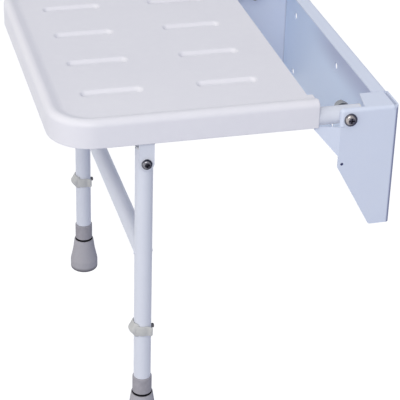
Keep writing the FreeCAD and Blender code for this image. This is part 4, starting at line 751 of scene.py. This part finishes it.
def clip_wedge():
    """Thumb wedge: points and faces of its levels about the pin's height."""
    points, faces = [], []
    for level, front, wide in WEDGE_LEVELS:
        points += wedge_level(level, front, wide)
    count = 2 * (WEDGE_ROUNDS + 1)
    last = (len(WEDGE_LEVELS) - 1) * count
    for start in range(0, last, count):
        faces += ring_quads(count, start, start + count)
    for start in (0, last):
        for bit in range(WEDGE_ROUNDS):
            across = start + count - 1 - bit
            faces.append((start + bit, start + bit + 1, across - 1, across))
    return points, faces


for side, sign in SIDES.items():
    points, faces = clip_band()
    wedge, wedge_faces = clip_wedge()
    faces += [tuple(len(points) + place for place in face) for face in wedge_faces]
    points += wedge
    placed = [(sign * (LEG_X + across), LEG_Y + deep, PIN_Z + high)
              for across, deep, high in points]
    clip_piece = finish_piece(f"sprung_clip_{side}", placed, faces, finishes["clip"],
                              f"clip_{side}")
    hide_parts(f"clip_{side}")


# Weld seams: rows of small ripples along the joints of the tubes
BAR_Z = -0.0916
REAR_TUBE_Y = -0.145
RIPPLE_R = 0.0012
TAB_RIPPLE_R = 0.0010
RIPPLE_FLATNESS = 0.7
RIPPLE_SIZES = (0.9, 1.1)
RIPPLE_SEED = 4
RIPPLE_SEGMENTS, RIPPLE_RINGS = 10, 6
PITCH_SHARE = 0.9
SEAM_STEPS = 72
# Each leg tab is welded along both of its faces, under the side tube
TAB_FACES = (0.2143, 0.2173)
TAB_SEAM_HALF = 0.0093
TAB_SEAM_STEPS = 12


def make_seam_tree():
    """Ripples along a line of edges, with pitch, size and finish as inputs."""
    tree = bpy.data.node_groups.new("weld_seam", "GeometryNodeTree")
    tree.interface.new_socket("Path", in_out="INPUT", socket_type="NodeSocketGeometry")
    for label, value in (("Pitch", PITCH_SHARE * RIPPLE_R), ("Ripple Radius", RIPPLE_R),
                         ("Flatness", RIPPLE_FLATNESS)):
        socket = tree.interface.new_socket(label, in_out="INPUT",
                                           socket_type="NodeSocketFloat")
        socket.default_value = value
    tree.interface.new_socket("Finish", in_out="INPUT", socket_type="NodeSocketMaterial")
    tree.interface.new_socket("Seam", in_out="OUTPUT", socket_type="NodeSocketGeometry")
    given = tree.nodes.new("NodeGroupInput")
    out = tree.nodes.new("NodeGroupOutput")
    line = tree.nodes.new("GeometryNodeMeshToCurve")
    tree.links.new(given.outputs["Path"], line.inputs["Mesh"])
    spaced = tree.nodes.new("GeometryNodeResampleCurve")
    spaced.mode = "LENGTH"
    tree.links.new(line.outputs["Curve"], spaced.inputs["Curve"])
    tree.links.new(given.outputs["Pitch"], spaced.inputs["Length"])
    ripple = tree.nodes.new("GeometryNodeMeshUVSphere")
    ripple.inputs["Segments"].default_value = RIPPLE_SEGMENTS
    ripple.inputs["Rings"].default_value = RIPPLE_RINGS
    tree.links.new(given.outputs["Ripple Radius"], ripple.inputs["Radius"])
    tangent = tree.nodes.new("GeometryNodeInputTangent")
    turn = tree.nodes.new("FunctionNodeAlignRotationToVector")
    turn.axis = "X"
    tree.links.new(tangent.outputs["Tangent"], turn.inputs["Vector"])
    size = tree.nodes.new("FunctionNodeRandomValue")
    size.data_type = "FLOAT"
    size.inputs["Min"].default_value = RIPPLE_SIZES[0]
    size.inputs["Max"].default_value = RIPPLE_SIZES[1]
    size.inputs["Seed"].default_value = RIPPLE_SEED
    stretch = tree.nodes.new("ShaderNodeCombineXYZ")
    tree.links.new(given.outputs["Flatness"], stretch.inputs["X"])
    tree.links.new(size.outputs["Value"], stretch.inputs["Y"])
    tree.links.new(size.outputs["Value"], stretch.inputs["Z"])
    laid = tree.nodes.new("GeometryNodeInstanceOnPoints")
    tree.links.new(spaced.outputs["Curve"], laid.inputs["Points"])
    tree.links.new(ripple.outputs["Mesh"], laid.inputs["Instance"])
    tree.links.new(turn.outputs["Rotation"], laid.inputs["Rotation"])
    tree.links.new(stretch.outputs["Vector"], laid.inputs["Scale"])
    real = tree.nodes.new("GeometryNodeRealizeInstances")
    tree.links.new(laid.outputs["Instances"], real.inputs["Geometry"])
    skin = tree.nodes.new("GeometryNodeSetMaterial")
    tree.links.new(real.outputs["Geometry"], skin.inputs["Geometry"])
    tree.links.new(given.outputs["Finish"], skin.inputs["Material"])
    tree.links.new(skin.outputs["Geometry"], out.inputs["Seam"])
    return tree


seam_tree = make_seam_tree()


def lay_seam(name, lines, body, ripple_r=RIPPLE_R):
    """Seam piece from open or closed lines of points, made plain before it rides."""
    points, edges = [], []
    for line, closed in lines:
        first = len(points)
        points += line
        edges += [(first + place, first + place + 1) for place in range(len(line) - 1)]
        if closed:
            edges.append((len(points) - 1, first))
    guide = bpy.data.meshes.new(name + "_guide")
    guide.from_pydata(points, edges, [])
    holder = bpy.data.objects.new(name + "_guide", guide)
    bpy.context.scene.collection.objects.link(holder)
    step = holder.modifiers.new("seam", "NODES")
    step.node_group = seam_tree
    values = {"Pitch": PITCH_SHARE * ripple_r, "Ripple Radius": ripple_r,
              "Finish": finishes["coat"]}
    for item in seam_tree.interface.items_tree:
        if item.in_out == "INPUT" and item.name in values:
            step[item.identifier] = values[item.name]
    seen = holder.evaluated_get(bpy.context.evaluated_depsgraph_get())
    mesh = bpy.data.meshes.new_from_object(seen)
    mesh.name = name
    holder.modifiers.remove(step)
    bpy.data.objects.remove(holder)
    for face in mesh.polygons:
        face.use_smooth = True
    piece = bpy.data.objects.new(name, mesh)
    bpy.context.scene.collection.objects.link(piece)
    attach(piece, body)


def round_seam(sign, tube_x, axis_y, axis_z, tube_upright):
    """Closed line where a cross tube meets an equal side tube, upright or lying along Y."""
    line = []
    for step in range(SEAM_STEPS):
        angle = 2.0 * math.pi * step / SEAM_STEPS
        ahead_by, up_by = TUBE_R * math.cos(angle), TUBE_R * math.sin(angle)
        sunk = abs(up_by) if tube_upright else abs(ahead_by)
        line.append((sign * (tube_x - sunk), axis_y + ahead_by, axis_z + up_by))
    return line, True


def tab_seam(sign, across):
    """Open line along one face of a leg tab, where it meets the side tube."""
    sunk = math.sqrt(TUBE_R ** 2 - (across - FRAME_X) ** 2)
    line = []
    for step in range(TAB_SEAM_STEPS + 1):
        deep = LEG_Y - TAB_SEAM_HALF + 2.0 * TAB_SEAM_HALF * step / TAB_SEAM_STEPS
        line.append((sign * across, deep, FRAME_Z - sunk))
    return line, False


lay_seam("crossbar_seams",
         [round_seam(sign, LEG_X, LEG_Y, BAR_Z, True) for sign in SIDES.values()], "legs")
lay_seam("rear_tube_seams",
         [round_seam(sign, FRAME_X, REAR_TUBE_Y, FRAME_Z, False) for sign in SIDES.values()],
         "seat")
lay_seam("leg_tab_seams",
         [tab_seam(sign, across) for sign in SIDES.values() for across in TAB_FACES],
         "seat", TAB_RIPPLE_R)

# Floor and light: the floor lies under the feet at the legs' longest setting
LEG_TRAVEL = 0.15
FLOOR_Z = cad_box[0][2] - LEG_TRAVEL
FLOOR_SIZE = 12.0
FLOOR_TINT = shade(172, 176, 190)
FLOOR_SHADOW = (0.36, 0.36, 0.36, 1.0)
FLOOR_GLOW = (0.80, 0.80, 0.80, 1.0)
SKY_BRIGHT = (0.765, 0.77, 0.79, 1.0)
SKY_DARK = (0.28, 0.31, 0.43, 1.0)
DARK_WAY = (-0.25, 1.0, -0.75)
DARK_FROM, DARK_TO = -0.7, 0.4


def link_seen_rays(tree):
    """Value that is 1 for the camera, for gloss and through clear things."""
    rays = tree.nodes.new("ShaderNodeLightPath")
    seen = combine(tree, "MAXIMUM", rays.outputs["Is Camera Ray"], rays.outputs["Is Glossy Ray"])
    return combine(tree, "MAXIMUM", seen, rays.outputs["Is Transmission Ray"])


def choose_seen(tree, unseen, seen, surface):
    """Send one shader to the rays that light the object and another to those that show."""
    choice = tree.nodes.new("ShaderNodeMixShader")
    tree.links.new(link_seen_rays(tree), choice.inputs["Fac"])
    tree.links.new(unseen, choice.inputs[1])
    tree.links.new(seen, choice.inputs[2])
    tree.links.new(choice.outputs["Shader"], surface)


def make_floor_finish():
    """Pale floor that looks white, with the object's shadow left faintly on it."""
    material = bpy.data.materials.new("pale_floor")
    material.use_nodes = True
    tree = material.node_tree
    tree.nodes.remove(tree.nodes["Principled BSDF"])
    plain = tree.nodes.new("ShaderNodeBsdfDiffuse")
    plain.inputs["Color"].default_value = FLOOR_TINT
    shaded = tree.nodes.new("ShaderNodeBsdfDiffuse")
    shaded.inputs["Color"].default_value = FLOOR_SHADOW
    glow = tree.nodes.new("ShaderNodeEmission")
    glow.inputs["Color"].default_value = FLOOR_GLOW
    glow.inputs["Strength"].default_value = 1.0
    white = tree.nodes.new("ShaderNodeAddShader")
    tree.links.new(shaded.outputs["BSDF"], white.inputs[0])
    tree.links.new(glow.outputs["Emission"], white.inputs[1])
    choose_seen(tree, plain.outputs["BSDF"], white.outputs["Shader"],
                tree.nodes["Material Output"].inputs["Surface"])
    return material


bpy.ops.mesh.primitive_plane_add(size=FLOOR_SIZE, location=(0.0, 0.0, FLOOR_Z))
floor = bpy.context.object
floor.name = "floor"
floor.data.materials.append(make_floor_finish())


def make_studio():
    """Sky that looks white and lights softly: bright in front, dark blue low at the wall."""
    world = bpy.data.worlds.new("studio")
    bpy.context.scene.world = world
    world.use_nodes = True
    tree = world.node_tree
    place = tree.nodes.new("ShaderNodeTexCoord")
    lean = tree.nodes.new("ShaderNodeVectorMath")
    lean.operation = "DOT_PRODUCT"
    lean.inputs[1].default_value = DARK_WAY
    tree.links.new(place.outputs["Generated"], lean.inputs[0])
    dark = soft_step(tree, lean.outputs["Value"], DARK_FROM, DARK_TO)
    tint = tree.nodes.new("ShaderNodeMix")
    tint.data_type = "RGBA"
    tint.inputs["A"].default_value = SKY_BRIGHT
    tint.inputs["B"].default_value = SKY_DARK
    tree.links.new(dark, tint.inputs["Factor"])
    sky = tree.nodes["Background"]
    tree.links.new(tint.outputs["Result"], sky.inputs["Color"])
    sky.inputs["Strength"].default_value = 1.0
    white = tree.nodes.new("ShaderNodeBackground")
    white.inputs["Color"].default_value = WHITE
    white.inputs["Strength"].default_value = 1.0
    choose_seen(tree, sky.outputs["Background"], white.outputs["Background"],
                tree.nodes["World Output"].inputs["Surface"])


make_studio()

# Lamps: place, the point each looks at, width in metres, power in watts and tint
LAMPS = {
    "front": ((0.6, -3.0, 0.45), (0.0, -0.2, -0.1), 2.0, 10.5, (1.0, 0.96, 0.88)),
    "key": ((2.65, -1.15, 1.6), (0.0, -0.2, 0.0), 1.3, 32.5, (1.0, 0.985, 0.955)),
}


def soft_lamp(name, place, aim, width, power, tint):
    """Square area lamp that looks at a point."""
    lamp = bpy.data.lights.new(name, "AREA")
    lamp.shape = "SQUARE"
    lamp.size = width
    lamp.energy = power
    lamp.color = tint
    holder = bpy.data.objects.new(name, lamp)
    bpy.context.scene.collection.objects.link(holder)
    holder.location = place
    way = Vector(aim) - Vector(place)
    holder.rotation_euler = way.to_track_quat("-Z", "Y").to_euler()


for lamp_name, setting in LAMPS.items():
    soft_lamp(lamp_name, *setting)

# Camera at the photograph's place, for a frame of 400 by 400
CAMERA_PLACE = Vector((1.83845, -0.69136, 0.91605))
YAW, PITCH, ROLL = (math.radians(angle) for angle in (15.32, 29.06, 1.68))
FOCAL_SHARE = 1570.13 / 400.0
SENSOR = 36.0


def turn_camera():
    """Camera's axes as a matrix: yaw from -X to +Y, then pitch down, then roll."""
    ahead = Vector((-math.cos(YAW) * math.cos(PITCH), math.sin(YAW) * math.cos(PITCH),
                    -math.sin(PITCH)))
    level = Vector((math.sin(YAW), math.cos(YAW), 0.0))
    over = level.cross(ahead)
    right_hand = level * math.cos(ROLL) + over * math.sin(ROLL)
    head_up = over * math.cos(ROLL) - level * math.sin(ROLL)
    return Matrix((right_hand, head_up, -ahead)).transposed().to_4x4()


camera_data = bpy.data.cameras.new("camera")
camera_data.sensor_width = SENSOR
camera_data.lens = SENSOR * FOCAL_SHARE
camera = bpy.data.objects.new("camera", camera_data)
bpy.context.scene.collection.objects.link(camera)
turned = turn_camera()
turned.translation = CAMERA_PLACE
camera.matrix_world = turned
bpy.context.scene.camera = camera

bpy.context.scene.view_settings.view_transform = "Standard"
